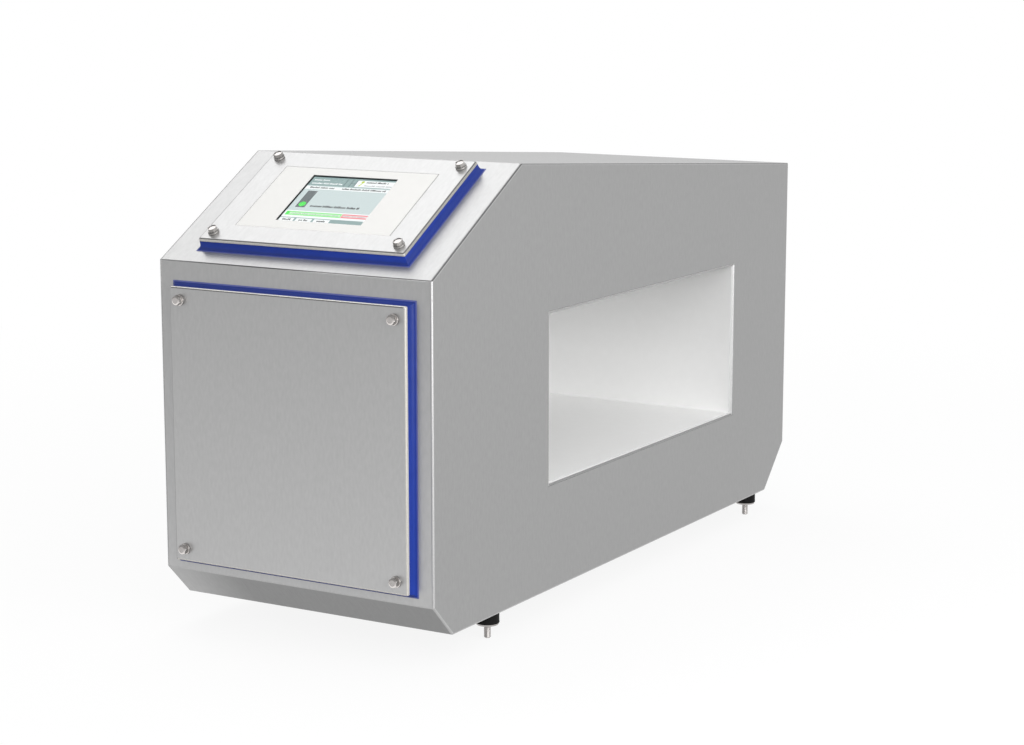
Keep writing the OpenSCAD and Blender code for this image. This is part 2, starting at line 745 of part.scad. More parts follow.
// Display cable from the plug under the control panel down to the main board
socket_end = -sheet_t - back_depth - panel_socket_h;
plug_end = socket_end - plug_h;
ribbon_route = [
    up_slope(panel_rise + panel_h / 2, plug_end),
    up_slope(panel_rise + panel_h / 2, plug_end - ribbon_straight),
    [plate_y - board_face - socket_depth / 2, main_row_z + main_board_h + ribbon_straight],
    [plate_y - board_face - socket_depth / 2, main_row_z + main_board_h]
];
module strip(points, t) for (i = [1:len(points) - 1]) {
    run = points[i] - points[i - 1];
    translate(points[i - 1]) rotate(atan2(run[1], run[0]))
        translate([0, -t / 2]) square([norm(run), t]);
    if (i > 1) translate(points[i - 1]) circle(d = t);
}
module display_cable() color("lightsteelblue") in_place() translate([ribbon_x, 0, 0])
    across(ribbon_w - 2 * slip) strip(ribbon_route, ribbon_t);
module display_plug() color("black") on_slope()
    translate([ribbon_x - plug_w / 2, (panel_h - plug_t) / 2, plug_end])
        cube([plug_w, plug_t, plug_h]);

// Feet
module foot_bushes() color("gray") in_place() at_places(foot_places)
    translate([0, 0, sheet_t]) difference() {
        cylinder(r = stud_d / 2 + foot_bush_wall, h = foot_bush_h);
        translate([0, 0, -over])
            cylinder(d = upper_stud_d + 2 * thread_fit, h = upper_stud_len + slip + over);
    }
module foot_top_studs() color("silver") in_place() at_places(foot_places) {
    translate([0, 0, -disc_t]) cylinder(d = buffer_d - 2 * disc_inset, h = disc_t);
    translate([0, 0, -disc_t]) cylinder(d = upper_stud_d, h = disc_t + upper_stud_len);
}
module foot_rubbers() color("black") in_place() at_places(foot_places)
    translate([0, 0, disc_t - buffer_h]) cylinder(d = buffer_d, h = buffer_h - 2 * disc_t);
module foot_bottom_studs() color("silver") in_place() at_places(foot_places)
    translate([0, 0, -buffer_h]) {
        cylinder(d = buffer_d - 2 * disc_inset, h = disc_t);
        translate([0, 0, stud_chamfer - stud_len]) cylinder(d = stud_d, h = stud_len);
        translate([0, 0, -stud_len])
            cylinder(d1 = stud_d - 2 * stud_chamfer, d2 = stud_d, h = stud_chamfer);
    }

// Cable glands
gland_bore = gland_d - 2 * gland_wall;
gland_drop = gland_stem_len + gland_hex_h;
gland_len = gland_drop + sheet_t + locknut_h + stem_over;
module gland_bodies() color("silver") in_place() at_places(gland_places) {
    translate([0, 0, -gland_drop]) bored_cylinder(gland_d, gland_bore, gland_len);
    translate([0, 0, -gland_hex_h]) difference() {
        hexagon(gland_af, gland_hex_h);
        translate([0, 0, -over]) cylinder(d = gland_bore, h = gland_hex_h + 2 * over);
    }
}
module gland_locknuts() color("silver") in_place() at_places(gland_places)
    translate([0, 0, sheet_t]) difference() {
        hexagon(gland_af + locknut_over, locknut_h);
        translate([0, 0, -over]) cylinder(d = gland_d + 2 * thread_fit, h = locknut_h + 2 * over);
    }
module gland_caps() color("silver") in_place() at_places(gland_places)
    translate([0, 0, -gland_hex_h - cap_len]) difference() {
        union() {
            translate([0, 0, cap_dome]) hexagon(gland_af, cap_len - cap_dome);
            cylinder(d1 = gland_d, d2 = gland_af, h = cap_dome);
        }
        translate([0, 0, cap_wall])
            cylinder(d = gland_d + 2 * thread_fit, h = cap_len);
        translate([0, 0, -over]) cylinder(d = gland_bore - cap_wall, h = cap_wall + 2 * over);
    }
module gland_inserts() color("dimgray") in_place() at_places(gland_places)
    translate([0, 0, cap_wall - gland_hex_h - cap_len])
        bored_cylinder(gland_bore - 2 * thread_fit, insert_bore, insert_len);

// Vent and earth point
module vent_plug() color("dimgray") in_place() translate([vent_x, vent_y, 0]) difference() {
    union() {
        translate([0, 0, -vent_head_h]) cylinder(d = vent_head_d, h = vent_head_h);
        translate([0, 0, -over]) cylinder(d = vent_thread_d, h = over + sheet_t + vent_head_h);
    }
    for (i = [0:vent_slots - 1]) rotate([0, 0, i * 360 / vent_slots])
        translate([vent_thread_d / 2, -vent_slot_w / 2, -vent_head_h + vent_slot_w])
            cube([vent_head_d, vent_slot_w, vent_head_h - 2 * vent_slot_w]);
}
module earth_stud() color("silver") in_place() translate([earth_x, earth_y, -earth_out])
    cylinder(d = earth_d, h = earth_out + earth_in);
module earth_nuts() color("silver") in_place() translate([earth_x, earth_y, 0]) {
    translate([0, 0, sheet_t]) nut(earth_d);
    translate([0, 0, -nut_h_share * earth_d]) nut(earth_d);
}

// Front cover, which lifts off towards the operator
module front_cover() color("silver") on_front() lid_plate(cover_w, cover_h, cover_places);
module front_gasket() color("royalblue") on_front()
    gasket(cover_w, cover_h, cover_window_w, cover_window_h, cover_places);
module cover_screws() color("lightgray") on_front() at_places(cover_places) lid_screw();
module cover_screw_seals() color("dimgray") on_front()
    at_places(cover_places) lid_screw_seal();

// Control panel, which lifts off at right angles to the slope
module panel_box(w, h, t) lid_box(panel_h, w, h, 0, t);
module panel_plate() color("gainsboro") on_slope() difference() {
    lid_plate(panel_w, panel_h, panel_places);
    translate([0, 0, gasket_t - over])
        panel_box(screen_w + 2 * recess_gap, screen_h + 2 * recess_gap, lid_t + 2 * over);
    translate([0, 0, gasket_t - over]) panel_box(glass_w + 2 * slip, glass_h + 2 * slip, glass_t + over);
}
module panel_gasket() color("royalblue") on_slope()
    gasket(panel_w, panel_h, panel_window_w, panel_window_h, panel_places);
module panel_screws() color("lightgray") on_slope() at_places(panel_places) lid_screw();
module panel_screw_seals() color("dimgray") on_slope()
    at_places(panel_places) lid_screw_seal();
module decor_foil() color("whitesmoke") on_slope() translate([0, 0, lid_front]) difference() {
    panel_box(foil_w, foil_h, foil_t);
    translate([0, 0, -over]) panel_box(screen_w, screen_h, foil_t + 2 * over);
}
module touch_glass() color("lightcyan") on_slope() translate([0, 0, gasket_t])
    panel_box(glass_w, glass_h, glass_t);
module display_module() color("darkgray") on_slope() translate([0, 0, gasket_t - module_t])
    panel_box(module_w, module_h, module_t);
module display_frame() color("gray") on_slope() difference() {
    translate([0, 0, gasket_t - module_t - frame_t])
        panel_box(frame_w, module_h, module_t + frame_t);
    translate([0, 0, gasket_t - module_t])
        panel_box(frame_w - 2 * frame_t, module_h + 2 * over, module_t + over);
}
module panel_back_cover() color("gray") on_slope() {
    deep = back_depth + sheet_t + gasket_t;
    difference() {
        translate([0, 0, gasket_t - deep]) panel_box(back_w, back_h, deep);
        translate([0, 0, gasket_t - deep + back_wall])
            panel_box(back_w - 2 * back_wall, back_h - 2 * back_wall, deep);
    }
    translate([ribbon_x, 0, socket_end]) panel_box(panel_socket_w, panel_socket_t, panel_socket_h);
}

housing_wrap();
side_panel_left();
side_panel_right();
bulkhead();
cover_bushes();
panel_bushes();
tunnel_liner();
liner_seal_left();
liner_seal_right();
coil_former();
transmit_coil();
receive_coil_left();
receive_coil_right();
coil_potting();
potting_foam();
coil_cable();
bulkhead_grommet();
plate_pillars();
mounting_plate();
plate_nuts();
power_supply();
main_board();
receiver_board();
drive_board();
board_spacers();
board_screws();
processor_cooler();
board_sockets();
screening_can();
drive_heat_sink();
drive_capacitors();
mounting_rail();
terminal_blocks();
end_clamps();
display_cable();
display_plug();
foot_bushes();
foot_top_studs();
foot_rubbers();
foot_bottom_studs();
gland_bodies();
gland_locknuts();
gland_caps();
gland_inserts();
vent_plug();
earth_stud();
earth_nuts();
front_cover();
front_gasket();
cover_screws();
cover_screw_seals();
panel_plate();
panel_gasket();
panel_screws();
panel_screw_seals();
decor_foil();
touch_glass();
display_module();
display_frame();
panel_back_cover();
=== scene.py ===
"""Looks of a tunnel metal detector head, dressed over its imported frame.

Lengths are in metres. X runs along the belt, +Y from the operator's face to the rear, +Z up.
"""
import json
from math import cos, pi, radians, sin

import bmesh
import bpy
import numpy as np
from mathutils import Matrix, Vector


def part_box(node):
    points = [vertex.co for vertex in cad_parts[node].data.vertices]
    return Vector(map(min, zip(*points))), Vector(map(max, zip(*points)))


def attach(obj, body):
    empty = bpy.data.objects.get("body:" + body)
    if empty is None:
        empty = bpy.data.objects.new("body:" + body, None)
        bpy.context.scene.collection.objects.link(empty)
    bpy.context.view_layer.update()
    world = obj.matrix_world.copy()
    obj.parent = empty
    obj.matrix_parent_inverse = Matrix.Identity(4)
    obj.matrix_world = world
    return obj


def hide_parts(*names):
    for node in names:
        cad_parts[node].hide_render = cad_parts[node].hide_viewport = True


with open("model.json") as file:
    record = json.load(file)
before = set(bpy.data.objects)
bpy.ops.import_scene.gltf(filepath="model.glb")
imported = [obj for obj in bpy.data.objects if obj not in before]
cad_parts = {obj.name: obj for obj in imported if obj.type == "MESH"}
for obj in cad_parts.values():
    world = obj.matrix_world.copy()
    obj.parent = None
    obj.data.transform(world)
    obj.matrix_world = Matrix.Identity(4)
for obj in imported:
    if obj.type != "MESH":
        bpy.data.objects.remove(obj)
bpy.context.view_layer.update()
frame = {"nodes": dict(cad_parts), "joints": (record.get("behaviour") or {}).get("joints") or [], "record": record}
scene = bpy.context.scene
MM = 0.001


def link(name, data):
    """An object of a mesh, a lamp or a camera, put into the scene."""
    thing = bpy.data.objects.new(name, data)
    scene.collection.objects.link(thing)
    return thing


# Photograph: where the camera stands and what it sees
camera_place = (1.4829, -2.5012, 0.7609)
camera_azimuth = radians(30.396)
camera_elevation = radians(10.012)
camera_lens = 81.70
sensor_width = 36.0

camera = link("camera", bpy.data.cameras.new("camera"))
camera.location = camera_place
camera.rotation_euler = (pi / 2 - camera_elevation, 0, camera_azimuth)
camera.data.lens = camera_lens
camera.data.sensor_width = sensor_width
camera.data.sensor_fit = "HORIZONTAL"
camera.data.clip_end = 60
scene.camera = camera
scene.view_settings.view_transform = "Standard"


# Measuring the frame
RIGHT = np.array((1.0, 0, 0))
REAR = np.array((0, 1.0, 0))
UP = np.array((0, 0, 1.0))
AXES = {joint["name"]: np.array(joint["axis"], float) for joint in frame["joints"]}
SLOTS = {row["node"]: row["material_slot"] for row in frame["record"]["subparts"]}


def vertices(node):
    """All points of a CAD node, one row each."""
    mesh = frame["nodes"][node].data
    points = np.zeros(len(mesh.vertices) * 3)
    mesh.vertices.foreach_get("co", points)
    return points.reshape(-1, 3)


def extent(node, direction):
    """How far a CAD node reaches along a direction: its lowest and highest place."""
    along = vertices(node) @ np.asarray(direction, float)
    return along.min(), along.max()


def inset(edges, by):
    """A rectangle's half width, low edge and high edge, drawn in by a distance."""
    half, low, high = edges
    return half - by, low + by, high - by


class Lid:
    """One of the two screwed lids: the directions of its face and its plate's edges.

    A point on it is (x, y, z): to the right, up the lid, and out of its face.
    """

    def __init__(self, body, joint, plate, gasket, screws):
        self.body = body
        self.out = AXES[joint] / np.linalg.norm(AXES[joint])
        self.up = np.cross(self.out, RIGHT)
        self.edges = self.edges_of(plate)
        self.back, self.face = extent(plate, self.out)
        self.seat = extent(gasket, self.out)[0]
        self.spread = self.edges_of(gasket)[0] - self.edges[0]
        self.screw_edges = self.edges_of(screws)

    def edges_of(self, node):
        """A node's half width and its lowest and highest edge, up the lid."""
        return (extent(node, RIGHT)[1], *extent(node, self.up))

    def place(self, points):
        """Points given on the lid, in the frame."""
        return points @ np.stack([RIGHT, self.up, self.out])


COVER = Lid("front_cover_body", "front_cover_lift_off", "front_cover", "front_gasket",
            "cover_screws")
PANEL = Lid("control_panel_body", "control_panel_lift_off", "panel_plate", "panel_gasket",
            "panel_screws")


# Making meshes
def sheet_of(grid, ring=False, closed=False):
    """Points and faces of a surface given as a grid of points, rows by columns.

    Each face joins four neighbours and each row runs round. The last row can join the first
    as in a ring, or both can be closed with one flat face each.
    """
    rows, columns = grid.shape[:2]
    index = np.arange(rows * columns).reshape(rows, columns)
    if ring:
        index = np.vstack([index, index[:1]])
    index = np.hstack([index, index[:, :1]])
    corners = [index[:-1, :-1], index[:-1, 1:], index[1:, 1:], index[1:, :-1]]
    faces = np.stack(corners, -1).reshape(-1, 4).tolist()
    if closed:
        faces.append(index[0, :columns][::-1].tolist())
        faces.append(index[-1, :columns].tolist())
    return grid.reshape(-1, 3), faces


def piece_of(name, parts, slot, *nodes, body="root", material=None, smooth_angle=35):
    """A dressed piece made of surfaces, with its doubles merged and its faces outwards."""
    points, faces, start = [], [], 0
    for part_points, part_faces in parts:
        points.append(part_points)
        faces += [[corner + start for corner in face] for face in part_faces]
        start += len(part_points)
    mesh = bpy.data.meshes.new(name)
    mesh.from_pydata(np.concatenate(points).tolist(), [], faces)
    shape = bmesh.new()
    shape.from_mesh(mesh)
    bmesh.ops.remove_doubles(shape, verts=shape.verts, dist=1e-6)
    bmesh.ops.recalc_face_normals(shape, faces=shape.faces)
    shape.to_mesh(mesh)
    shape.free()
    mesh.shade_smooth()
    mesh.set_sharp_from_angle(angle=radians(smooth_angle))
    return dress(link(name, mesh), slot, *nodes, body=body, material=material)


def ring_points(radius, angle, height):
    """Points at a radius and an angle about Z and at a height, for whole arrays."""
    x = radius * np.cos(angle)
    return np.stack([x, radius * np.sin(angle), np.broadcast_to(height, x.shape)], -1)


def turned(profile, steps=48, across=None):
    """A turned surface about Z: the profile's (radius, height) rows carried round a circle.

    With across given, rows whose third value is 1 are cut to a hexagon so wide across flats.
    """
    profile = np.asarray(profile, float)
    angle = np.linspace(0, 2 * pi, steps, endpoint=False)
    radius = np.repeat(profile[:, :1], steps, 1)
    if across:
        sector = pi / 3
        limit = across / 2 / np.cos((angle % sector) - sector / 2)
        radius = np.where(profile[:, 2:3] > 0, np.minimum(radius, limit), radius)
    return ring_points(radius, angle, profile[:, 1:2])


def rounded_rows(rows, steps=5):
    """A surface whose rows are rectangles with round corners.

    Each row is (half width, low edge, high edge, corner radius, height): the straight sides
    join four quarter circles of that radius.
    """
    half, low, high, radius, height = np.asarray(rows, float).T[:, :, None]
    turn = np.repeat(np.arange(4), steps)
    angle = (turn + np.tile(np.linspace(0, 1, steps), 4)) * pi / 2
    side = np.array((1, -1, -1, 1))[turn]
    top = np.array((1, 1, -1, -1))[turn]
    x = side * (half - radius) + radius * np.cos(angle)
    y = np.where(top > 0, high - radius, low + radius) + radius * np.sin(angle)
    return np.stack([x, y, np.broadcast_to(height, x.shape)], -1)


def lid_piece(name, lid, rows, slot, *nodes, ring=False, steps=5, material=None):
    """A piece on a lid made of rounded rows: closed at both ends, or a ring round a hole."""
    surface = sheet_of(lid.place(rounded_rows(rows, steps)), ring, not ring)
    return piece_of(name, [surface], slot, *nodes, body=lid.body, material=material)


def inset_rows(edges, corner, rows):
    """Rows of a rectangle that is drawn in by each row's first value, at its second."""
    return [(*inset(edges, by), corner, height) for by, height in rows]


def edge_arc(radius, steps=4):
    """Setbacks and rises of a rounded edge: a quarter circle from its foot to its top."""
    angle = np.linspace(0, pi / 2, steps)
    return radius * (1 - np.cos(angle)), radius * np.sin(angle)


def flatten(piece):
    """Lets the large faces keep flat shading up to the rounded edges beside them."""
    flats = piece.modifiers.new("flats", "WEIGHTED_NORMAL")
    flats.keep_sharp = True
    flats.weight = 100


def softened(name, node, width, segments=2, weigh=None, material=None, edge_material=None):
    """A dressed copy of a CAD node, its loose triangles merged and its edges rounded.

    weigh gives, for the two ends and the two face normals of an edge, the share of the width
    that the edge gets. Without it, every edge sharper than 30 degrees gets all of it. The
    rounded edges can have a material of their own.
    """
    mesh = frame["nodes"][node].data.copy()
    mesh.name = name
    shape = bmesh.new()
    shape.from_mesh(mesh)
    bmesh.ops.remove_doubles(shape, verts=shape.verts, dist=2e-6)
    bmesh.ops.dissolve_limit(
        shape, angle_limit=radians(0.5), verts=shape.verts, edges=shape.edges,
        use_dissolve_boundaries=False
    )
    if weigh:
        layer = shape.edges.layers.float.new("bevel_weight_edge")
        for edge in shape.edges:
            if len(edge.link_faces) == 2 and edge.calc_face_angle() > radians(15):
                normals = [face.normal for face in edge.link_faces]
                edge[layer] = weigh(edge.verts[0].co, edge.verts[1].co, *normals)
    shape.to_mesh(mesh)
    shape.free()
    mesh.shade_smooth()
    piece = link(name, mesh)
    rounding = piece.modifiers.new("rounding", "BEVEL")
    rounding.width = width
    rounding.segments = segments
    rounding.limit_method = "WEIGHT" if weigh else "ANGLE"
    rounding.angle_limit = radians(30)
    flatten(piece)
    dress(piece, SLOTS[node], node, material=material)
    if edge_material:
        piece.data.materials.append(edge_material)
        rounding.material = 1
    return piece


def of_faces(piece, value):
    """The normal or the center of each face of a piece, one row each."""
    rows = np.zeros(len(piece.data.polygons) * 3)
    piece.data.polygons.foreach_get(value, rows)
    return rows.reshape(-1, 3)


def paint_faces(piece, index, *materials):
    """Adds materials to a piece and gives each face the one that its number names."""
    for material in materials:
        piece.data.materials.append(material)
    piece.data.polygons.foreach_set("material_index", index.astype(int).tolist())


def trim(piece, out, material, low, high, signed=False):
    """Gives another material to the faces whose normals lean out by a share in the range."""
    lean = of_faces(piece, "normal") @ out
    lean = lean if signed else np.abs(lean)
    index = np.zeros(len(lean), int)
    piece.data.polygons.foreach_get("material_index", index)
    index[(lean >= low) & (lean <= high)] = len(piece.data.materials)
    paint_faces(piece, index, material)


def dress(piece, slot, *nodes, body="root", material=None):
    """Gives a piece its body and its material, and hides the CAD nodes that it stands for.

    The material is the slot's own, unless another is given.
    """
    piece.data.materials.clear()
    piece.data.materials.append(material or SLOT_MATERIALS[slot])
    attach(piece, body)
    if nodes:
        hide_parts(*nodes)
    return piece


# Making materials
SATIN = (0.30, 0.40)    # roughness of most ground edges and sheets, from fine to coarse


def grey(value):
    return value, value, value


def new_node(tree, kind, values=(), **settings):
    """A new node with its settings, and with plain values in its inputs by name or number."""
    node = tree.nodes.new("ShaderNode" + kind)
    for name, setting in settings.items():
        setattr(node, name, setting)
    for name, value in dict(values).items():
        node.inputs[name].default_value = value
    return node


class Finish:
    """A material whose plain values are on its shader's own sockets."""

    def __init__(self, name, colour, metallic=0.0, roughness=0.5, coat=0.0, specular=0.5):
        self.material = bpy.data.materials.new(name)
        self.material.use_nodes = True
        self.tree = self.material.node_tree
        self.wire = self.tree.links.new
        self.shader = self.tree.nodes["Principled BSDF"]
        self.colour = colour
        for socket, value in (
            ("Base Color", (*colour, 1)), ("Metallic", metallic), ("Roughness", roughness),
            ("Coat Weight", coat), ("Coat Roughness", 0.08), ("Specular IOR Level", specular),
        ):
            self.shader.inputs[socket].default_value = value

    def noise(self, frequency, detail=2.0):
        """Noise on the piece's own place: frequency in waves per metre, for all axes or each."""
        place = new_node(self.tree, "TexCoord")
        mapping = new_node(self.tree, "Mapping", {"Scale": tuple(np.ones(3) * frequency)})
        texture = new_node(self.tree, "TexNoise", {"Scale": 1, "Detail": detail})
        self.wire(place.outputs["Object"], mapping.inputs["Vector"])
        self.wire(mapping.outputs["Vector"], texture.inputs["Vector"])
        return texture.outputs["Fac"]

    def ramp(self, value, start, end):
        """Turns a value into another: start and end are each a value and what it becomes."""
        node = new_node(self.tree, "MapRange", {
            "From Min": start[0], "To Min": start[1], "From Max": end[0], "To Max": end[1]
        })
        self.wire(value, node.inputs["Value"])
        return node.outputs["Result"]

    def spread(self, value, low, high):
        """Spreads the middle of a noise over the range from low to high."""
        return self.ramp(value, (0.3, low), (0.7, high))

    def blend(self, value, dark, light, socket):
        """Mixes two colours by a value into a socket of the shader."""
        mix = new_node(self.tree, "Mix", {6: (*dark, 1), 7: (*light, 1)}, data_type="RGBA")
        self.wire(value, mix.inputs[0])
        self.wire(mix.outputs[2], self.shader.inputs[socket])

    def shade(self, value, amount):
        """Lets the colour vary by that share to both sides."""
        dark, light = [tuple(c * (1 + s * amount) for c in self.colour) for s in (-1, 1)]
        self.blend(self.spread(value, 0, 1), dark, light, "Base Color")

    def lighten(self, space, axis, start, end):
        """Multiplies the colour by a factor that changes along an axis.

        The axis is one of the piece's place (Object) or of the way it faces (Normal). Start
        and end are each a value on it and the factor there.
        """
        place = new_node(self.tree, "TexCoord")
        split = new_node(self.tree, "SeparateXYZ")
        scale = new_node(self.tree, "VectorMath", operation="SCALE")
        base = self.shader.inputs["Base Color"]
        self.wire(base.links[0].from_socket, scale.inputs[0])
        self.wire(place.outputs[space], split.inputs[0])
        self.wire(self.ramp(split.outputs[axis], start, end), scale.inputs["Scale"])
        self.wire(scale.outputs["Vector"], base)

    def roughen(self, value, low, high):
        """Lets the roughness follow a noise from low to high."""
        self.wire(self.spread(value, low, high), self.shader.inputs["Roughness"])

    def bump(self, value, depth):
        """Raises the surface by the value times the depth in metres."""
        node = new_node(self.tree, "Bump", {"Strength": 1, "Distance": depth})
        self.wire(value, node.inputs["Height"])
        self.wire(node.outputs["Normal"], self.shader.inputs["Normal"])


def ground_steel(name, colour, grain, roughness=SATIN, foot=1.0, left=1.0):
    """Ground stainless sheet: fine scratches along the grain and a faint soft mottle.

    foot and left are factors on the colour at the sheet's foot and at its left end, painted
    light that fades out further up and further to the right.
    """
    steel = Finish(name, colour, metallic=0.75)
    fine = [1900 if g else 40 for g in grain]
    soft = [330 if g else 110 for g in grain]
    steel.shade(steel.noise(soft, 3), 0.035)
    # Painted light: the colour is lifted at the foot and at the left end
    if foot != 1:
        steel.lighten("Object", "Z", (0.06, foot), (0.42, 1))
    if left != 1:
        steel.lighten("Object", "X", (-0.18, left), (-0.08, 1))
    steel.roughen(steel.noise(fine), *roughness)
    steel.bump(steel.noise(fine), 0.004 * MM)
    return steel.material


def turned_steel(name, colour, roughness=(0.18, 0.30), metallic=1.0, painted_shading=()):
    """Turned and rolled steel: small variations in gloss, and painted light and shade by the way
    it faces up.

    A row of painted light and shade is a start and an end, each an upward share and the
    factor on the colour there.
    """
    steel = Finish(name, colour, metallic=metallic)
    steel.shade(steel.noise(500), 0.06)
    steel.roughen(steel.noise(900, 3), *roughness)
    # Painted light and shade by the way the surface faces up
    for start, end in painted_shading:
        steel.lighten("Normal", "Z", start, end)
    return steel.material


def weld_steel(name, light_to, dark_from):
    """Ground weld edges: light at the sides, painted shade where they turn from upright to
    sloping, and that shade lifted again where they face straight up.

    light_to and dark_from are upward shares of the way the edge faces.
    """
    # Painted shade where the edge turns from upright to sloping, lifted back where it faces up
    painted_shading = (((light_to, 1), (dark_from, 0.27)), ((0.8, 1), (0.95, 3.3)))
    return turned_steel(name, grey(0.50), SATIN, 0.7, painted_shading)


def silicone(name, colour):
    """Moulded silicone: satin skin, a faint cloudiness, fine dust marks, painted light and shade."""
    rubber = Finish(name, colour, specular=0.25)
    rubber.shade(rubber.noise(60, 3), 0.06)
    # Painted light where it faces down, painted shade where it faces up
    rubber.lighten("Normal", "Z", (-0.35, 1.6), (0.2, 0.84))
    rubber.roughen(rubber.noise(400), 0.36, 0.5)
    rubber.bump(rubber.noise(1500), 0.01 * MM)
    return rubber.material


def moulded(name, colour, roughness=0.5, bump=0.01, shade=0.04, coat=0.0, scale=900,
            specular=0.5, painted_shading=()):
    """Moulded plastic, rubber or lacquer: a fine skin and a slight unevenness of colour.

    A row of painted light and shade is a space, a start and an end, as Finish.lighten takes
    them along Z.
    """
    plastic = Finish(name, colour, coat=coat, specular=specular)
    plastic.shade(plastic.noise(80, 3), shade)
    # Painted light and shade along Z, by place or by the way the surface faces
    for space, start, end in painted_shading:
        plastic.lighten(space, "Z", start, end)
    plastic.roughen(plastic.noise(scale / 3), roughness - 0.06, roughness + 0.06)
    plastic.bump(plastic.noise(scale), bump * MM)
    return plastic.material


def clear_glass(name):
    """Clear pane: sees through, mirrors a little, with a faint unevenness in its gloss."""
    glass = Finish(name, (1, 1, 1), roughness=0.03)
    glass.shader.inputs["Transmission Weight"].default_value = 1
    glass.shader.inputs["IOR"].default_value = 1.12
    glass.roughen(glass.noise(200), 0.01, 0.05)
    return glass.material


def lit(name, colour):
    """A field of the lit display: its own light, varied a little by the fine pixel grain."""
    field = Finish("lit_" + name, tuple(0.05 * c for c in colour), specular=0.2)
    dark, light = [0.97 * c for c in colour], [min(1, 1.03 * c) for c in colour]
    field.blend(field.noise(2500, 0), dark, light, "Emission Color")
    field.shader.inputs["Emission Strength"].default_value = 1
    return field.material


# The wrap's steel is painted lighter towards its foot: painted light
WRAP_STEEL = ground_steel("wrap_steel", grey(0.392), RIGHT, foot=1.3)
# The top is a darker copy of the wrap's steel: painted shade
TOP_SHADE_STEEL = ground_steel("top_painted_shade_steel", grey(0.31), RIGHT)
SIDE_STEEL = ground_steel("side_steel", grey(0.35), REAR)
# The lids' steel is painted lighter towards their foot: painted light
LID_STEEL = ground_steel("lid_steel", grey(0.405), RIGHT, (0.28, 0.38), 1.27)
# Darker copies of the screw steel for the heads' flanks: painted shade
FLANK_SHADE_STEEL = turned_steel("flank_painted_shade_steel", (0.36, 0.345, 0.335), (0.2, 0.3))
CROWN_STEEL = turned_steel("crown_steel", (0.74, 0.73, 0.71), (0.14, 0.24))
PANEL_FLANK_SHADE_STEEL = turned_steel("panel_flank_painted_shade_steel", (0.40, 0.385, 0.37), (0.2, 0.3), 0.45)
CROWN_LIGHT_AND_SHADE = turned_steel(    # painted highlight below, painted shade where it faces up
    "crown_painted_light_and_shade", (0.80, 0.76, 0.74), (0.16, 0.26), 1.0, [((-0.25, 1), (0.25, 0.3))]
)
MOUTH_STEEL = turned_steel("mouth_edge_steel", grey(0.50), SATIN, 0.6)
# A darker copy for the mouth edges' upward faces: painted shade
MOUTH_SHADE_STEEL = turned_steel("mouth_painted_shade_steel", grey(0.27), SATIN, 0.6)
# Lit and shaded copies of the plates' edge steel, by the way the edges face: painted light and shade
CUT_LIGHT_STEEL = turned_steel("cut_edge_painted_light_steel", (0.80, 0.78, 0.73), SATIN, 0.25)
CUT_RIGHT_LIGHT_STEEL = turned_steel("cut_right_painted_light_steel", (0.60, 0.58, 0.54), SATIN, 0.25)
CUT_SIDE_LIGHT_STEEL = turned_steel("cut_side_painted_light_steel", (0.42, 0.41, 0.38), SATIN, 0.25)
# Weld and fold edges: painted shade by the way they face
WELD_SHADE_STEEL = weld_steel("weld_painted_shade_steel", 0.25, 0.45)
FOLD_SHADE_STEEL = weld_steel("fold_painted_shade_steel", 0.02, 0.10)
# The underside is a darker copy of the wrap's steel, painted shade, and painted lighter at its left end
UNDER_SHADE_STEEL = ground_steel("under_painted_shade_steel", grey(0.27), RIGHT, (0.32, 0.42), left=1.8)
# A dark copy for the plates' rims and the panel screws' crowns: painted shade
RIM_SHADE_STEEL = turned_steel("rim_painted_shade_steel", grey(0.16), SATIN)
# The seal's paler blue is partly painted reflection and shade of the gasket on the steel
LIP_AND_REFLECTION_BLUE = silicone("lip_and_painted_reflection_blue", (0.12, 0.14, 0.37))
CHIP = moulded("chip_epoxy", (0.018, 0.018, 0.02), 0.4)
TIN = turned_steel("tinned_ends", (0.62, 0.62, 0.63))
# A grey copy of the liner's plastic for its bevelled mouths: painted shade
LINER_EDGE_SHADE = moulded("liner_edge_painted_shade", grey(0.66), 0.42, bump=0.006, shade=0.008)
# The foil's lower edge is painted light, the lines on its other margins painted shadow
FOIL_LOW_LIGHT = moulded("foil_lower_edge_painted_light", (0.93, 0.925, 0.90), 0.42, bump=0.004)
FOIL_SHADOW_LINE = moulded("foil_painted_shadow_line", (0.12, 0.12, 0.115), 0.42, bump=0.004)
FOIL_SIDE_SHADOW_LINE = moulded("foil_side_painted_shadow_line", (0.36, 0.36, 0.35), 0.42, bump=0.004)
BLACK = moulded("black_border", (0.008, 0.008, 0.009), 0.35)
TERMINAL_EARTH = moulded("terminal_green", (0.07, 0.30, 0.05))
TERMINAL_BLUE = moulded("terminal_blue", (0.03, 0.12, 0.42))

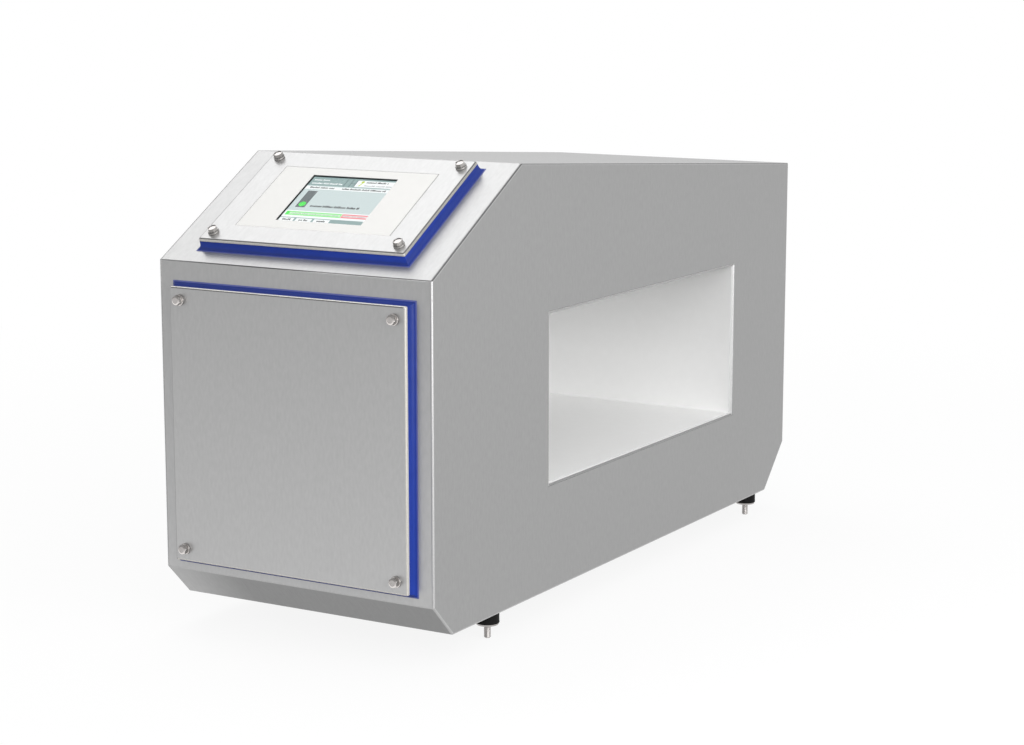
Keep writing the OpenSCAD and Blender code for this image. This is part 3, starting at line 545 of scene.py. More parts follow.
# Each slot's own material, also that of the CAD nodes that stay
SLOT_MATERIALS = {
    "housing_steel": WRAP_STEEL,
    "plate_steel": LID_STEEL,
    "inner_steel": ground_steel("inner_steel", (0.42, 0.42, 0.43), UP, (0.36, 0.48)),
    "fastener_steel": turned_steel("screw_steel", (0.44, 0.42, 0.41), (0.2, 0.3)),
    "blue_silicone": silicone("blue_silicone", (0.011, 0.034, 0.25)),
    "seal_rubber": moulded("seal_rubber", (0.035, 0.035, 0.037), 0.6),
    "buffer_rubber": moulded("buffer_rubber", grey(0.003), 0.6, specular=0.15),
    "liner_plastic": moulded(
        "liner_plastic", (0.905, 0.905, 0.90), 0.42, bump=0.006, shade=0.008, painted_shading=[
            ("Normal", (0.4, 0.98), (0.9, 1.06)),    # painted light: the floor a little lighter
            ("Object", (0.23, 1), (0.36, 0.87))      # painted shade: the walls darker above
        ]
    ),
    "decor_foil": moulded("decor_foil", (0.74, 0.735, 0.715), 0.42, bump=0.004, shade=0.008),
    "former_plastic": moulded("former_laminate", (0.50, 0.44, 0.24), shade=0.1),
    "coil_copper": turned_steel("wound_copper", (0.60, 0.25, 0.12), (0.25, 0.4)),
    "potting_resin": moulded("potting_resin", (0.012, 0.018, 0.035), 0.3, coat=0.4),
    "filling_foam": moulded(
        "filling_foam", (0.74, 0.62, 0.36), 0.85, bump=0.3, shade=0.12, scale=500
    ),
    "cable_sheath": moulded("cable_sheath", (0.025, 0.025, 0.027), 0.45),
    "ribbon_plastic": moulded("ribbon_plastic", (0.42, 0.43, 0.46), 0.45),
    "circuit_board": moulded("circuit_board", (0.012, 0.10, 0.045), 0.35, shade=0.2, coat=0.3),
    "spacer_brass": turned_steel("spacer_brass", (0.66, 0.46, 0.16)),
    "case_metal": ground_steel("zinc_case", (0.52, 0.53, 0.55), (1, 1, 1), (0.35, 0.5)),
    "heat_sink_metal": turned_steel("anodised_alloy", (0.05, 0.05, 0.055), (0.35, 0.5), 0.6),
    "capacitor_case": moulded("capacitor_case", (0.42, 0.045, 0.02), 0.35),
    "terminal_plastic": moulded("terminal_grey", (0.33, 0.35, 0.35)),
    "socket_plastic": moulded("socket_plastic", (0.60, 0.57, 0.47), 0.45),
    "plug_plastic": moulded("plug_plastic", (0.022, 0.022, 0.024), 0.4),
    "touch_glass": clear_glass("touch_glass"),
}


# Housing
EDGE = 2.0 * MM        # radius of the ground weld between the wrap and the side sheets
FOLD_SHARE = 0.55      # the folds' radius, as a share of it
WRAP_POINTS = vertices("side_panel_right")
frame_half = extent("side_panel_right", RIGHT)[1]


def outer_lines():
    """The outer faces of the wrap as (normal, distance) in the YZ plane."""
    mesh = frame["nodes"]["side_panel_right"].data
    mesh.calc_loop_triangles()
    lines = []
    for triangle in mesh.loop_triangles:
        normal = np.array(triangle.normal)
        point = np.array(mesh.vertices[triangle.vertices[0]].co)
        outer = abs(normal[0]) < 0.1 and ((WRAP_POINTS - point) @ normal).max() < 1e-5
        if outer and all(abs(normal[1:] @ line[0] - 1) > 1e-6 for line in lines):
            lines.append((normal[1:], normal @ point))
    return lines


LINES = outer_lines()


def outline_depth(point):
    """How deep a point lies under the nearest outer face of the wrap."""
    return min(distance - normal @ np.array(point[1:]) for normal, distance in LINES)


def weigh_side(a, b, normal_a, normal_b):
    """Rounds the side sheet's outer edge and its corners, not the edge on the wrap."""
    outside = max(outline_depth(a), outline_depth(b)) < 0.5 * MM
    face = max(abs(normal_a[0]), abs(normal_b[0])) > 0.9
    if outside and not face:
        return FOLD_SHARE
    share = 1.0 if outside else 0.15
    return share if min(abs(a[0]), abs(b[0])) > frame_half - 0.1 * MM else 0.0


def weigh_wrap(a, b, normal_a, normal_b):
    """Rounds the wrap's folds, which run along X on its outer faces."""
    along = abs(a[0] - b[0]) > 0.5 * (b - a).length
    folded = abs(normal_a[0]) < 0.1 and abs(normal_b[0]) < 0.1
    near = 0.1 * MM
    outside = max(outline_depth(a), outline_depth(b)) < near
    faces = sum(abs(distance - normal @ np.array(a[1:])) < near for normal, distance in LINES)
    return FOLD_SHARE if along and folded and outside and faces > 1 else 0.0


# The rounded edges get the weld and fold steels: painted shade
for side in ("left", "right"):
    softened("side_sheet_" + side, "side_panel_" + side, EDGE, 4, weigh_side, SIDE_STEEL,
             WELD_SHADE_STEEL)
wrap = softened("wrapped_sheet", "housing_wrap", EDGE, 4, weigh_wrap, WRAP_STEEL, FOLD_SHADE_STEEL)
# Faces that lean down get the darker underside steel: painted shade
trim(wrap, -UP, UNDER_SHADE_STEEL, 0.3, 1, signed=True)
# Faces that look straight up get the darker top steel: painted shade
trim(wrap, UP, TOP_SHADE_STEEL, 0.95, 1, signed=True)

liner = softened("white_liner", "tunnel_liner", 0.4 * MM)


def mouth_edges(bevel=3.2 * MM, start=0.5, lip=0.12 * MM):
    """Steel edges around both mouths, over the outer part of the liner's bevel.

    Each is a closed ring with mitred corners: a thin band along the 45 degree bevel.
    """
    points = vertices("tunnel_liner")[:, 1:]
    centre = (points.max(0) + points.min(0)) / 2
    half_w, half_h = np.abs(points - centre).min(0)
    inner = bevel * start
    profile = ((inner + lip, bevel - inner), (inner - lip, bevel - inner - lip),
               (bevel - 2 * lip, 0), (bevel, 0))
    corners = ((1, 1), (-1, 1), (-1, -1), (1, -1))
    parts = []
    for side in (-1, 1):
        grid = np.array([[
            (side * (frame_half - depth), centre[0] + y * (half_w + out),
             centre[1] + z * (half_h + out)) for y, z in corners
        ] for out, depth in profile])
        parts.append(sheet_of(grid, ring=True))
    return piece_of("mouth_edges", parts, "housing_steel", material=MOUTH_STEEL,
                    smooth_angle=20)


edges = mouth_edges()
# Faces of the mouth edges that lean up get the darker steel: painted shade
trim(edges, UP, MOUTH_SHADE_STEEL, 0.5, 1, signed=True)
# The liner's bevels at the mouths get the grey copy: painted shade
trim(liner, RIGHT, LINER_EDGE_SHADE, 0.3, 0.95)
trim(liner, RIGHT, MOUTH_STEEL, 0.95, 1)


# Lids
def plate_rows(lid, rim=1.8 * MM, back_rim=0.3 * MM, corner=1.6 * MM):
    """Rows of a plate from its back over its rounded edges to its face."""
    back, rise = edge_arc(back_rim, 3)
    rows = [(b, lid.back + (back_rim - r)) for b, r in zip(back[::-1], rise[::-1])]
    back, rise = edge_arc(rim, 7)
    rows += [(b, lid.back + (lid.face - lid.back - rim + r)) for b, r in zip(back, rise)]
    return inset_rows(lid.edges, corner, rows)


seal_w = 1.6 * MM       # thin seal around the gasket's foot
seal_h = 0.3 * MM


def gasket_rows(lid, window, foot=0.8 * MM, lip=0.5 * MM, corner=0.8 * MM):
    """Rows of a gasket: the thin seal, the foot, the hollow side, the lip and the window.

    The side is an arc that leaves the lip upright and spreads to the foot.
    """
    rise = lid.back - lid.seat
    height = np.linspace(0, 1, 12)
    out = lid.spread * (1 - np.sqrt(1 - (1 - height) ** 2))
    rows = [(lid.spread + seal_w, 0.0), (lid.spread + seal_w, seal_h), (lid.spread, seal_h)]
    rows += [(o, foot + (rise - foot - lip) * h) for o, h in zip(out, height)]
    back, lift = edge_arc(lip)
    rows += [(-b, rise - lip + l) for b, l in zip(back[1:], lift[1:])]
    outside = inset_rows(lid.edges, corner, [(-o, lid.seat + z) for o, z in rows])
    return outside + inset_rows(window, corner, [(0, lid.back), (0, lid.seat)])


cover_rim = 34 * MM
window_gap = 3 * MM
for lid, name, node, window in (
    (COVER, "cover_gasket", "front_gasket", inset(COVER.edges, cover_rim)),
    (PANEL, "panel_seal", "panel_gasket",
     inset(PANEL.edges_of("panel_back_cover"), -window_gap)),
):
    gasket = lid_piece(name, lid, gasket_rows(lid, window), "blue_silicone", node, ring=True,
                       steps=3)
    # The thin seal around its foot has a paler blue: partly its own, partly painted reflection and shade of the
    # blue gasket on the steel
    middles = of_faces(gasket, "center")
    half, low, high = inset(lid.edges, -(lid.spread + 0.05 * MM))
    up = middles @ lid.up
    paint_faces(gasket, (abs(middles[:, 0]) > half) | (up < low) | (up > high), LIP_AND_REFLECTION_BLUE)

cover = lid_piece("cover_plate", COVER, plate_rows(COVER), "plate_steel", "front_cover")
flatten(cover)
# The cover's edges get lit and shaded copies of the steel by the way they face: painted light and shade
trim(cover, COVER.out, CUT_LIGHT_STEEL, 0, 0.999)
trim(cover, UP, RIM_SHADE_STEEL, 0.04, 0.67, signed=True)
trim(cover, -RIGHT, SIDE_STEEL, 0.04, 1, signed=True)
trim(cover, RIGHT, CUT_RIGHT_LIGHT_STEEL, 0.04, 1, signed=True)

# Control panel: plate with its cut-out, screen and foil
glass_edges = PANEL.edges_of("touch_glass")
glass_back, glass_top = extent("touch_glass", PANEL.out)
touch_rim = 7.7 * MM
opening = inset(glass_edges, touch_rim)
screen_half, screen_low, screen_high = opening
seal_t = 0.4 * MM      # black seal that lines the cut-out, also painted shade on the recess walls
pocket_gap = 0.3 * MM
hole_corner = 0.6 * MM
hole = inset(opening, -seal_t)
pocket_top = glass_top + 0.02 * MM
rows = plate_rows(PANEL)
rows += inset_rows(hole, hole_corner, [(0, PANEL.face), (0, pocket_top)])
rows += inset_rows(inset(glass_edges, -pocket_gap), hole_corner,
                   [(0, pocket_top), (0, PANEL.back)])
plate = lid_piece("panel_face", PANEL, rows, "plate_steel", "panel_plate", ring=True)
flatten(plate)
# The panel plate's edges likewise: painted light and shade
trim(plate, PANEL.out, CUT_LIGHT_STEEL, 0, 0.5)
trim(plate, PANEL.out, RIM_SHADE_STEEL, 0.5, 0.999)
trim(plate, RIGHT, CUT_SIDE_LIGHT_STEEL, 0.9, 1)

rows = inset_rows(hole, hole_corner, [(0, glass_top), (0, PANEL.face)])
rows += inset_rows(opening, 0.2 * MM, [(0, PANEL.face), (0, glass_top)])
# Its black is partly the seal's own colour and partly painted shade of the recess
lid_piece("screen_seal", PANEL, rows, "seal_rubber", ring=True)

# Decor foil: bevelled edges and a fine painted shadow line on three sides
foil_edges = PANEL.edges_of("decor_foil")
foil_top = extent("decor_foil", PANEL.out)[1]
line_w = 0.6 * MM
foil_edge = 0.5 * MM
rows = inset_rows(foil_edges, 1.2 * MM, [
    (0, PANEL.face), (foil_edge, foil_top), (foil_edge + line_w, foil_top)
])
rows += inset_rows(opening, 0.4 * MM, [(0, foil_top), (0, PANEL.face)])
foil = lid_piece("bordered_foil", PANEL, rows, "decor_foil", "decor_foil", ring=True)

# The painted shadow line's colours: upper and left margin, right margin; and the lower edge's painted light
middles = of_faces(foil, "center")
foil_up = middles @ PANEL.up
line_half, _, line_high = inset(foil_edges, foil_edge + line_w)
margins = (
    (foil_up > line_high) | (middles[:, 0] < -line_half), middles[:, 0] > line_half,
    foil_up < foil_edges[1] + foil_edge
)
paint_faces(foil, np.select(margins, (1, 2, 3)), FOIL_SHADOW_LINE, FOIL_SIDE_SHADOW_LINE, FOIL_LOW_LIGHT)

# Touch screen: black border, lit picture and glass
pane_rise = 0.8 * MM    # height of the pane's middle, which stands in the plate's opening
pane_rim = touch_rim + 0.05 * MM
pane_edge = 0.2 * MM
picture_z = glass_top + 0.5 * MM
layer = 0.015 * MM
black_rim = touch_rim + 0.25 * MM
picture_left, picture_right = 1.1 * MM - screen_half, screen_half - 0.3 * MM
picture_low, picture_high = screen_low + 0.3 * MM, screen_high - 0.9 * MM

rows = inset_rows(glass_edges, 0.5 * MM, [
    (pane_edge, glass_back + 0.12 * MM), (0, glass_back + 0.32 * MM),
    (0, glass_top - pane_edge), (pane_edge, glass_top), (pane_rim, glass_top),
    (pane_rim, glass_top + pane_rise - 0.1 * MM),
    (pane_rim + 0.1 * MM, glass_top + pane_rise)
])
lid_piece("touch_pane", PANEL, rows, "touch_glass", "touch_glass")


class Picture:
    """Flat fields of light on the screen, each a little above the one before.

    Places are millimetres from the left and upper edges of the opening. The picture lies
    deeper than the opening, so it is moved left and up by the shift.
    """

    shift_x = -0.9
    shift_y = 1.1

    def __init__(self):
        self.points, self.faces, self.paints, self.materials = [], [], [], []

    def add(self, outline, colour, level):
        """A field with its outline in millimetres."""
        if colour not in self.materials:
            self.materials.append(colour)
        self.paints.append(self.materials.index(colour))
        start = len(self.points)
        for x, y in outline:
            across = x * MM - screen_half + self.shift_x * MM
            up = screen_high - y * MM + self.shift_y * MM
            self.points.append(PANEL.place(np.array((
                min(max(across, picture_left), picture_right),
                min(max(up, picture_low), picture_high), picture_z + level * layer
            ))))
        self.faces.append(list(range(start, start + len(outline)))[::-1])

    def patch(self, left, top, right, bottom, colour, level):
        """A rectangle in millimetres."""
        self.add([(left, top), (right, top), (right, bottom), (left, bottom)], colour, level)

    def field(self, left, top, right, bottom, colour, level):
        """A rectangle in shares of the picture's width and height."""
        self.patch(left * W, top * H, right * W, bottom * H, colour, level)

    def disc(self, x, y, radius, colour, level):
        turn = np.linspace(0, 2 * pi, 24, endpoint=False)
        outline = [x * W + radius * np.cos(turn), y * H + radius * np.sin(turn)]
        self.add(np.stack(outline, -1), colour, level)

    def marks(self, left, right, y, height, colour, seed, level=4):
        """A line of small upright strokes in groups, which stands for a line of text."""
        draw = np.random.default_rng(seed)
        x, right, foot = left * W, right * W, y * H + height
        while x < right:
            for _ in range(draw.integers(3, 9)):
                width = draw.uniform(1.0, 1.8)
                tall = height * draw.choice((0.7, 0.72, 1.0))
                if x + width > right:
                    return
                self.patch(x, foot - tall, x + width, foot, colour, level)
                x += width + draw.uniform(0.4, 0.65)
            x += 1.4

    def finished(self, name):
        mesh = bpy.data.meshes.new(name)
        mesh.from_pydata([tuple(point) for point in self.points], [], self.faces)
        for colour in self.materials:
            mesh.materials.append(lit(*colour))
        mesh.polygons.foreach_set("material_index", self.paints)
        return link(name, mesh)


TEAL = ("teal", (0.27, 0.38, 0.375))
DIVIDER = ("divider", (0.14, 0.20, 0.20))
PALE = ("pale", (0.57, 0.66, 0.66))
WHITE = ("white", (0.88, 0.92, 0.92))
GREY = ("grey", (0.012, 0.014, 0.016))
SOFT = ("soft_grey", (0.42, 0.44, 0.46))
COLUMN = ("column", (0.13, 0.155, 0.16))
GREEN = ("green", (0.08, 0.78, 0.10))
LEAF = ("light_green", (0.26, 0.80, 0.25))
PINK = ("pink", (0.80, 0.24, 0.27))
PALE_LEAF = ("pale_green", (0.60, 0.86, 0.60))
PALE_PINK = ("pale_pink", (0.86, 0.68, 0.68))
KEY = ("yellow_green", (0.50, 0.62, 0.05))

W, H = 115.2, 88.0      # the picture's width and height in millimetres
picture = Picture()
field, marks = picture.field, picture.marks
field(0, 0, 1.05, 1.05, PALE, 1)
field(0, 0, 1.05, 0.21, TEAL, 2)
marks(0.05, 0.25, 0.07, 2.6, WHITE, 1)
marks(0.05, 0.42, 0.14, 3.0, WHITE, 2)
for x in (0.435, 0.50, 0.555):
    picture.patch(x * W - 0.6, 0.04 * H, x * W + 0.6, 0.21 * H, DIVIDER, 3)
picture.patch(0.50 * W, 0.12 * H, 0.555 * W, 0.12 * H + 1.2, DIVIDER, 3)
field(0.56, 0.055, 1.05, 0.195, WHITE, 3)
picture.disc(0.625, 0.085, 2.0, KEY, 4)
stroke = ((0.600, 0.175), (0.622, 0.10), (0.636, 0.10), (0.614, 0.175))
picture.add([(x * W, y * H) for x, y in stroke], KEY, 4)
marks(0.67, 0.93, 0.07, 3.0, GREY, 3)
marks(0.67, 1.02, 0.145, 2.4, SOFT, 4)
field(0, 0.225, 1.05, 0.29, WHITE, 2)
marks(0.07, 0.36, 0.235, 3.0, GREY, 5)
marks(0.45, 0.96, 0.235, 3.0, GREY, 6)
field(0.084, 0.33, 0.196, 0.69, COLUMN, 3)
picture.disc(0.142, 0.62, 4.5, GREEN, 4)
marks(0.25, 0.83, 0.625, 3.8, GREY, 7)
field(0, 0.76, 1.05, 0.905, WHITE, 2)
field(0.04, 0.78, 0.69, 0.862, LEAF, 3)
field(0.085, 0.803, 0.68, 0.838, PALE_LEAF, 4)
field(0.04, 0.785, 0.075, 0.855, GREEN, 4)
field(0.695, 0.78, 1.01, 0.862, PINK, 3)
field(0.71, 0.803, 0.995, 0.838, PALE_PINK, 4)
marks(0.11, 0.66, 0.813, 1.6, SOFT, 8, 5)
marks(0.72, 0.98, 0.813, 1.4, SOFT, 9, 5)
field(0, 0.905, 1.05, 1.05, TEAL, 2)
for tab, (left, right) in enumerate(((0.02, 0.19), (0.215, 0.40), (0.425, 0.61))):
    field(left, 0.92, right, 1.05, WHITE, 3)
    marks(left + 0.04, right - 0.03, 0.937, 3.2, GREY, 10 + tab)
screen = picture.finished("screen_picture")
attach(screen, PANEL.body)

rows = inset_rows(glass_edges, 0.2 * MM, [
    (black_rim, picture_z), (black_rim, picture_z + 0.5 * layer)
])
lid_piece("screen_border", PANEL, rows, "touch_glass", material=BLACK)


# Lid screws
HEAD_ACROSS = 10        # hexagon's width across its flats, in millimetres
COLLAR_D = 13.5 * MM    # the solids' collar, which gives the screws' places


def threaded(radius, low, high, pitch=1.25 * MM, depth=0.6 * MM, steps=32, rows_per_turn=8):
    """A threaded rod: its radius falls and rises along a helix, with a chamfered tip."""
    rows = int((high - low) / pitch * rows_per_turn) + 1
    height = np.linspace(low, high, rows)[:, None]
    angle = np.linspace(0, 2 * pi, steps, endpoint=False)
    phase = (height / pitch + angle / (2 * pi)) % 1
    groove = depth * (1 - np.abs(2 * phase - 1)) ** 1.3
    tip = np.clip((low + 1.1 * MM - height) / (1.1 * MM), 0, 1)
    return ring_points(radius - np.maximum(groove, tip * MM), angle, height)


def crowned_head(head_h, top, crown, dish):
    """A hexagon screw's head with a round collar, given in millimetres from its seat.

    The collar's skirt reaches down beside the washer, which lies in its hollow underside.
    A row is (radius, height, 1 where it keeps to the hexagon). The crown bends from the
    hexagon's corners over to a narrow rim, inside which the top is dished.
    """
    corner = HEAD_ACROSS / 2 / cos(pi / 6) + 0.05
    collar, collar_h, lip, skirt, hollow = 6.45, 1.8, 0.5, -0.85, 6.15
    shoulder = collar_h - 0.9
    angle = np.linspace(0, pi / 2, 5)
    rows = [(0, 0, 0), (hollow, 0, 0), (hollow, skirt, 0), (collar - 0.15, skirt, 0),
            (collar, skirt + 0.15, 0), (collar, shoulder, 0)]
    rows += [(collar - lip * (1 - cos(a)), shoulder + lip * sin(a), 0) for a in angle[1:]]
    rows += [(corner + 0.2, collar_h - 0.1, 0), (corner, collar_h, 1),
             (corner, head_h - crown, 1)]
    rows += [
        (top + (corner - top) * cos(a), head_h - crown * (1 - sin(a)), 1)
        for a in angle[1:-1]
    ]
    rim = top - 0.3
    rows += [(top, head_h, 1), (rim, head_h, 0), (rim - 0.4 * dish, head_h - dish, 0),
             (0, head_h - dish, 0)]
    return turned(np.array(rows) * (MM, MM, 1), 72, HEAD_ACROSS * MM)


def lid_screws(lid, name, node, seals, turns, head, crown, flank):
    """Four screws with their washers, each turned to its own angle."""
    washer_h, washer_r, shank_r = 1 * MM, 6 * MM, 3 * MM
    x, low, high = inset(lid.screw_edges, COLLAR_D / 2)
    places = [(-x, low), (-x, high), (x, low), (x, high)]
    tip = extent(node, lid.out)[0] - lid.face - washer_h
    shank = threaded(shank_r, tip, 0.2 * MM, 1 * MM, 0.5 * MM, 24)
    parts, washers = [], []
    washer = turned([(shank_r, 0), (washer_r - 0.2 * MM, 0), (washer_r, 0.3 * MM),
                     (washer_r, washer_h), (shank_r, washer_h)])
    for (x, y), turn in zip(places, turns):
        c, s = cos(radians(turn)), sin(radians(turn))
        spin = np.array(((c, s, 0), (-s, c, 0), (0, 0, 1)))
        base = np.array((x, y, lid.face + washer_h))
        parts.append(sheet_of(lid.place(head @ spin + base)))
        parts.append(sheet_of(lid.place(shank + base), closed=True))
        base = np.array((x, y, lid.face))
        washers.append(sheet_of(lid.place(washer + base)))
    screws = piece_of(name, parts, "fastener_steel", node, body=lid.body, smooth_angle=25)
    # Flanks and crowns get darker and lighter copies of the steel: painted light and shade
    trim(screws, lid.out, flank, 0, 0.3)
    trim(screws, lid.out, crown, 0.3, 0.995)
    piece_of(name + "_washers", washers, "seal_rubber", seals, body=lid.body)


# The cover screws' crowns and flanks get their lit and shaded copies: painted light and shade
lid_screws(COVER, "cover_bolts", "cover_screws", "cover_screw_seals", (8, 40, 25, 52),
           crowned_head(head_h=7.4, top=3.3, crown=2.4, dish=0.15), CROWN_LIGHT_AND_SHADE, FLANK_SHADE_STEEL)
# The panel screws' crowns get the dark rim steel: painted shade
lid_screws(PANEL, "panel_bolts", "panel_screws", "panel_screw_seals", (14, 31, 49, 3),
           crowned_head(head_h=5.72, top=4.9, crown=0.6, dish=0.9), RIM_SHADE_STEEL,
           PANEL_FLANK_SHADE_STEEL)

# Feet
stud_r, rubber_r, disc_r = 4 * MM, 14 * MM, 13 * MM
foot_x = extent("foot_rubbers", RIGHT)[1] - rubber_r
foot_low, foot_high = extent("foot_rubbers", REAR)
rubber_low, rubber_high = extent("foot_rubbers", UP)
stud_low = extent("foot_bottom_studs", UP)[0]
foot_places = [
    np.array((x, y, 0)) for x in (-foot_x, foot_x)
    for y in (foot_low + rubber_r, foot_high - rubber_r)
]


def buffer_rows(radius=rubber_r, lip=0.8 * MM, bulge=0.25 * MM):
    """Rows of a rubber buffer: round lips and sides drawn in a little at mid height."""
    back, rise = edge_arc(lip)
    rows = [(0, rubber_low)]
    rows += [(radius - b, rubber_low + lip - r) for b, r in zip(back[::-1], rise[::-1])]
    middle = np.linspace(0, 1, 7)[1:-1]
    height = rubber_high - rubber_low - 2 * lip
    rows += [
        (radius - bulge * sin(pi * m), rubber_low + lip + m * height) for m in middle
    ]
    rows += [(radius - b, rubber_high - lip + r) for b, r in zip(back, rise)]
    return rows + [(0, rubber_high)]


rubbers, studs = [], []
disc_h, disc_lip = 2 * MM, 0.4 * MM
disc = [(stud_r, rubber_low - disc_h), (disc_r - disc_lip, rubber_low - disc_h),
        (disc_r, rubber_low - disc_h + disc_lip), (disc_r, rubber_low)]
for place in foot_places:
    rubbers.append(sheet_of(turned(buffer_rows(), 64) + place))
    studs.append(sheet_of(turned(disc, 64) + place))
    rod = threaded(stud_r, stud_low, rubber_low, depth=0.35 * MM)
    studs.append(sheet_of(rod + place, closed=True))
piece_of("rubber_buffers", rubbers, "buffer_rubber", "foot_rubbers")
piece_of("buffer_studs", studs, "fastener_steel", "foot_bottom_studs", smooth_angle=60)

# The CAD nodes that stay get the materials of their slots
for name, node in frame["nodes"].items():
    node.data.materials.clear()
    node.data.materials.append(SLOT_MATERIALS[SLOTS[name]])

# Edges of the pieces inside and under the housing
EDGE_WIDTHS = {
    "bulkhead": 0.4, "mounting_plate": 0.4, "mounting_rail": 0.2, "plate_nuts": 0.3,
    "power_supply": 1.0, "main_board": 0.2, "receiver_board": 0.2, "drive_board": 0.2,
    "processor_cooler": 0.3, "board_sockets": 0.5, "board_screws": 0.3,
    "screening_can": 0.6, "drive_heat_sink": 0.3, "drive_capacitors": 1.5,
    "terminal_blocks": 0.4, "end_clamps": 0.5, "display_plug": 0.6, "gland_bodies": 0.5,
    "gland_locknuts": 0.4, "vent_plug": 0.6, "earth_nuts": 0.4, "coil_former": 0.5,
}
rounded = {
    node: softened("rounded_" + node, node, width * MM) for node, width in EDGE_WIDTHS.items()
}


# Cable glands and earth point
gland_y = sum(extent("gland_caps", REAR)) / 2
cap_low, cap_high = extent("gland_caps", UP)
cap_corner = extent("gland_caps", REAR)[1] - gland_y
gland_left, gland_right = extent("gland_caps", RIGHT)
gland_count = 4


def gland_cap_rows(dome=6 * MM, bore=7.6 * MM, rim=0.6 * MM):
    """Rows of a cable gland's cap nut: round mouth, dome, hexagon and chamfered top.

    The dome is a quarter ellipse from the mouth's rim out to the hexagon's corners.
    """
    angle = np.linspace(0, pi / 2, 8)
    rows = [(bore, cap_low + rim, 0), (bore + rim / 2, cap_low, 0)]
    flat = bore + rim
    rows += [
        (flat + (cap_corner - flat) * sin(a), cap_low + dome * (1 - cos(a)), a > 0.9)
        for a in angle
    ]
    rows += [(cap_corner, cap_high - rim, 1), (cap_corner - 2 * rim, cap_high, 0),
             (bore, cap_high, 0)]
    return rows


cap = turned(gland_cap_rows(), 72, 2 * cap_corner * cos(pi / 6))
caps = [
    sheet_of(cap + (x, gland_y, 0), ring=True)
    for x in np.linspace(gland_left + cap_corner, gland_right - cap_corner, gland_count)
]
piece_of("gland_cap_nuts", caps, "fastener_steel", "gland_caps", smooth_angle=28)

earth_r = np.ptp(extent("earth_stud", RIGHT)) / 2
earth_place = [sum(extent("earth_stud", axis)) / 2 for axis in (RIGHT, REAR)] + [0]
earth = threaded(earth_r, *extent("earth_stud", UP), 1 * MM, 0.5 * MM, 24) + earth_place
piece_of("earth_thread", [sheet_of(earth, closed=True)], "fastener_steel", "earth_stud")


# Small parts on the circuit boards and terminals, in millimetres
def upright(grid, x, z, board="main_board", closed=False):
    """Stands a surface up on a board, x to the right of and z above its lower left corner."""
    corner = np.array(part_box(board)[0])
    return sheet_of(corner + (grid * (1, 1, -1) + (x, z, 0))[:, :, (0, 2, 1)] * MM,
                    closed=closed)


def block(x, z, w, h, depth, corner=0.3, lip=0.2, board="main_board"):
    """A small part with its lower left corner at x and z: a box with a rounded front."""
    rows = [(w / 2 - i, i - h / 2, h / 2 - i, corner, d) for i, d in (
        (0, 0), (0, depth - lip), (lip * 0.3, depth - lip * 0.3), (lip, depth)
    )]
    return upright(rounded_rows(rows, 2), x + w / 2, z + h / 2, board, closed=True)


def small_part(x, z, board="main_board"):
    """One of the smallest parts on a board, such as a resistor."""
    return block(x, z, 1.3, 2.4, 0.8, 0.1, 0.1, board)


small_boards = ("receiver_board", "drive_board")
CHIPS = (               # on the main board: place, width, height and depth
    (8, 96, 20, 20, 2.2), (12, 70, 14, 9, 1.6), (12, 54, 14, 9, 1.6), (110, 92, 22, 14, 2.2),
    (112, 66, 12, 12, 1.6), (112, 48, 12, 12, 1.6), (34, 108, 10, 6, 1.4), (36, 28, 16, 7, 1.6),
)
chips = [block(*chip) for chip in CHIPS]
LEG_PITCH = 1.6         # millimetres between the chips' legs
legs = []
for x, z, w, h, _ in CHIPS:
    for i in range(int(h / LEG_PITCH)):
        for side in (-1.1, w + 0.1):
            legs.append(block(x + side, z + 0.7 + i * LEG_PITCH, 1, 0.7, 0.4, 0.1, 0.1))
for board in small_boards:
    chips += [block(x, 34, 12, 9, 1.6, board=board) for x in (8, 104)]

draw = np.random.default_rng(5)
small_parts = []
STRIPS = (              # fields of small parts: left and lower end, how many across and up
    (34, 92, 7, 2), (34, 34, 10, 2), (84, 34, 8, 2), (138, 96, 3, 5), (8, 34, 6, 3),
    (88, 106, 6, 2),
)
step_x, step_z = 3.2, 4.4    # millimetres from one part to the next
filled = 0.85                # share of the places that hold a part
for x, z, across, high in STRIPS:
    for i in range(across):
        for j in range(high):
            if draw.random() < filled:
                small_parts.append(small_part(x + step_x * i, z + step_z * j))
for board in small_boards:
    small_parts += [small_part(10 + step_x * i, 76, board) for i in range(12)]
piece_of("board_chips", chips, "circuit_board", material=CHIP)
piece_of("chip_legs", legs, "fastener_steel", material=TIN)
piece_of("small_board_parts", small_parts, "capacitor_case",
         material=SLOT_MATERIALS["socket_plastic"])

CAN_H = 10
CANS = ((92, 84, 4), (92, 70, 4), (138, 30, 5), (138, 46, 5), (80, 112, 4))    # x, z, radius
can_profile = [(0, 0), (0.9, 0), (1, 0.06), (1, 0.9), (0.92, 1), (0.8, 0.985), (0, 0.985)]
cans = [
    upright(turned([(r * radius, h * CAN_H) for r, h in can_profile], 20), x, z)
    for x, z, radius in CANS
]
piece_of("smoothing_capacitors", cans, "capacitor_case",
         material=SLOT_MATERIALS["heat_sink_metal"])

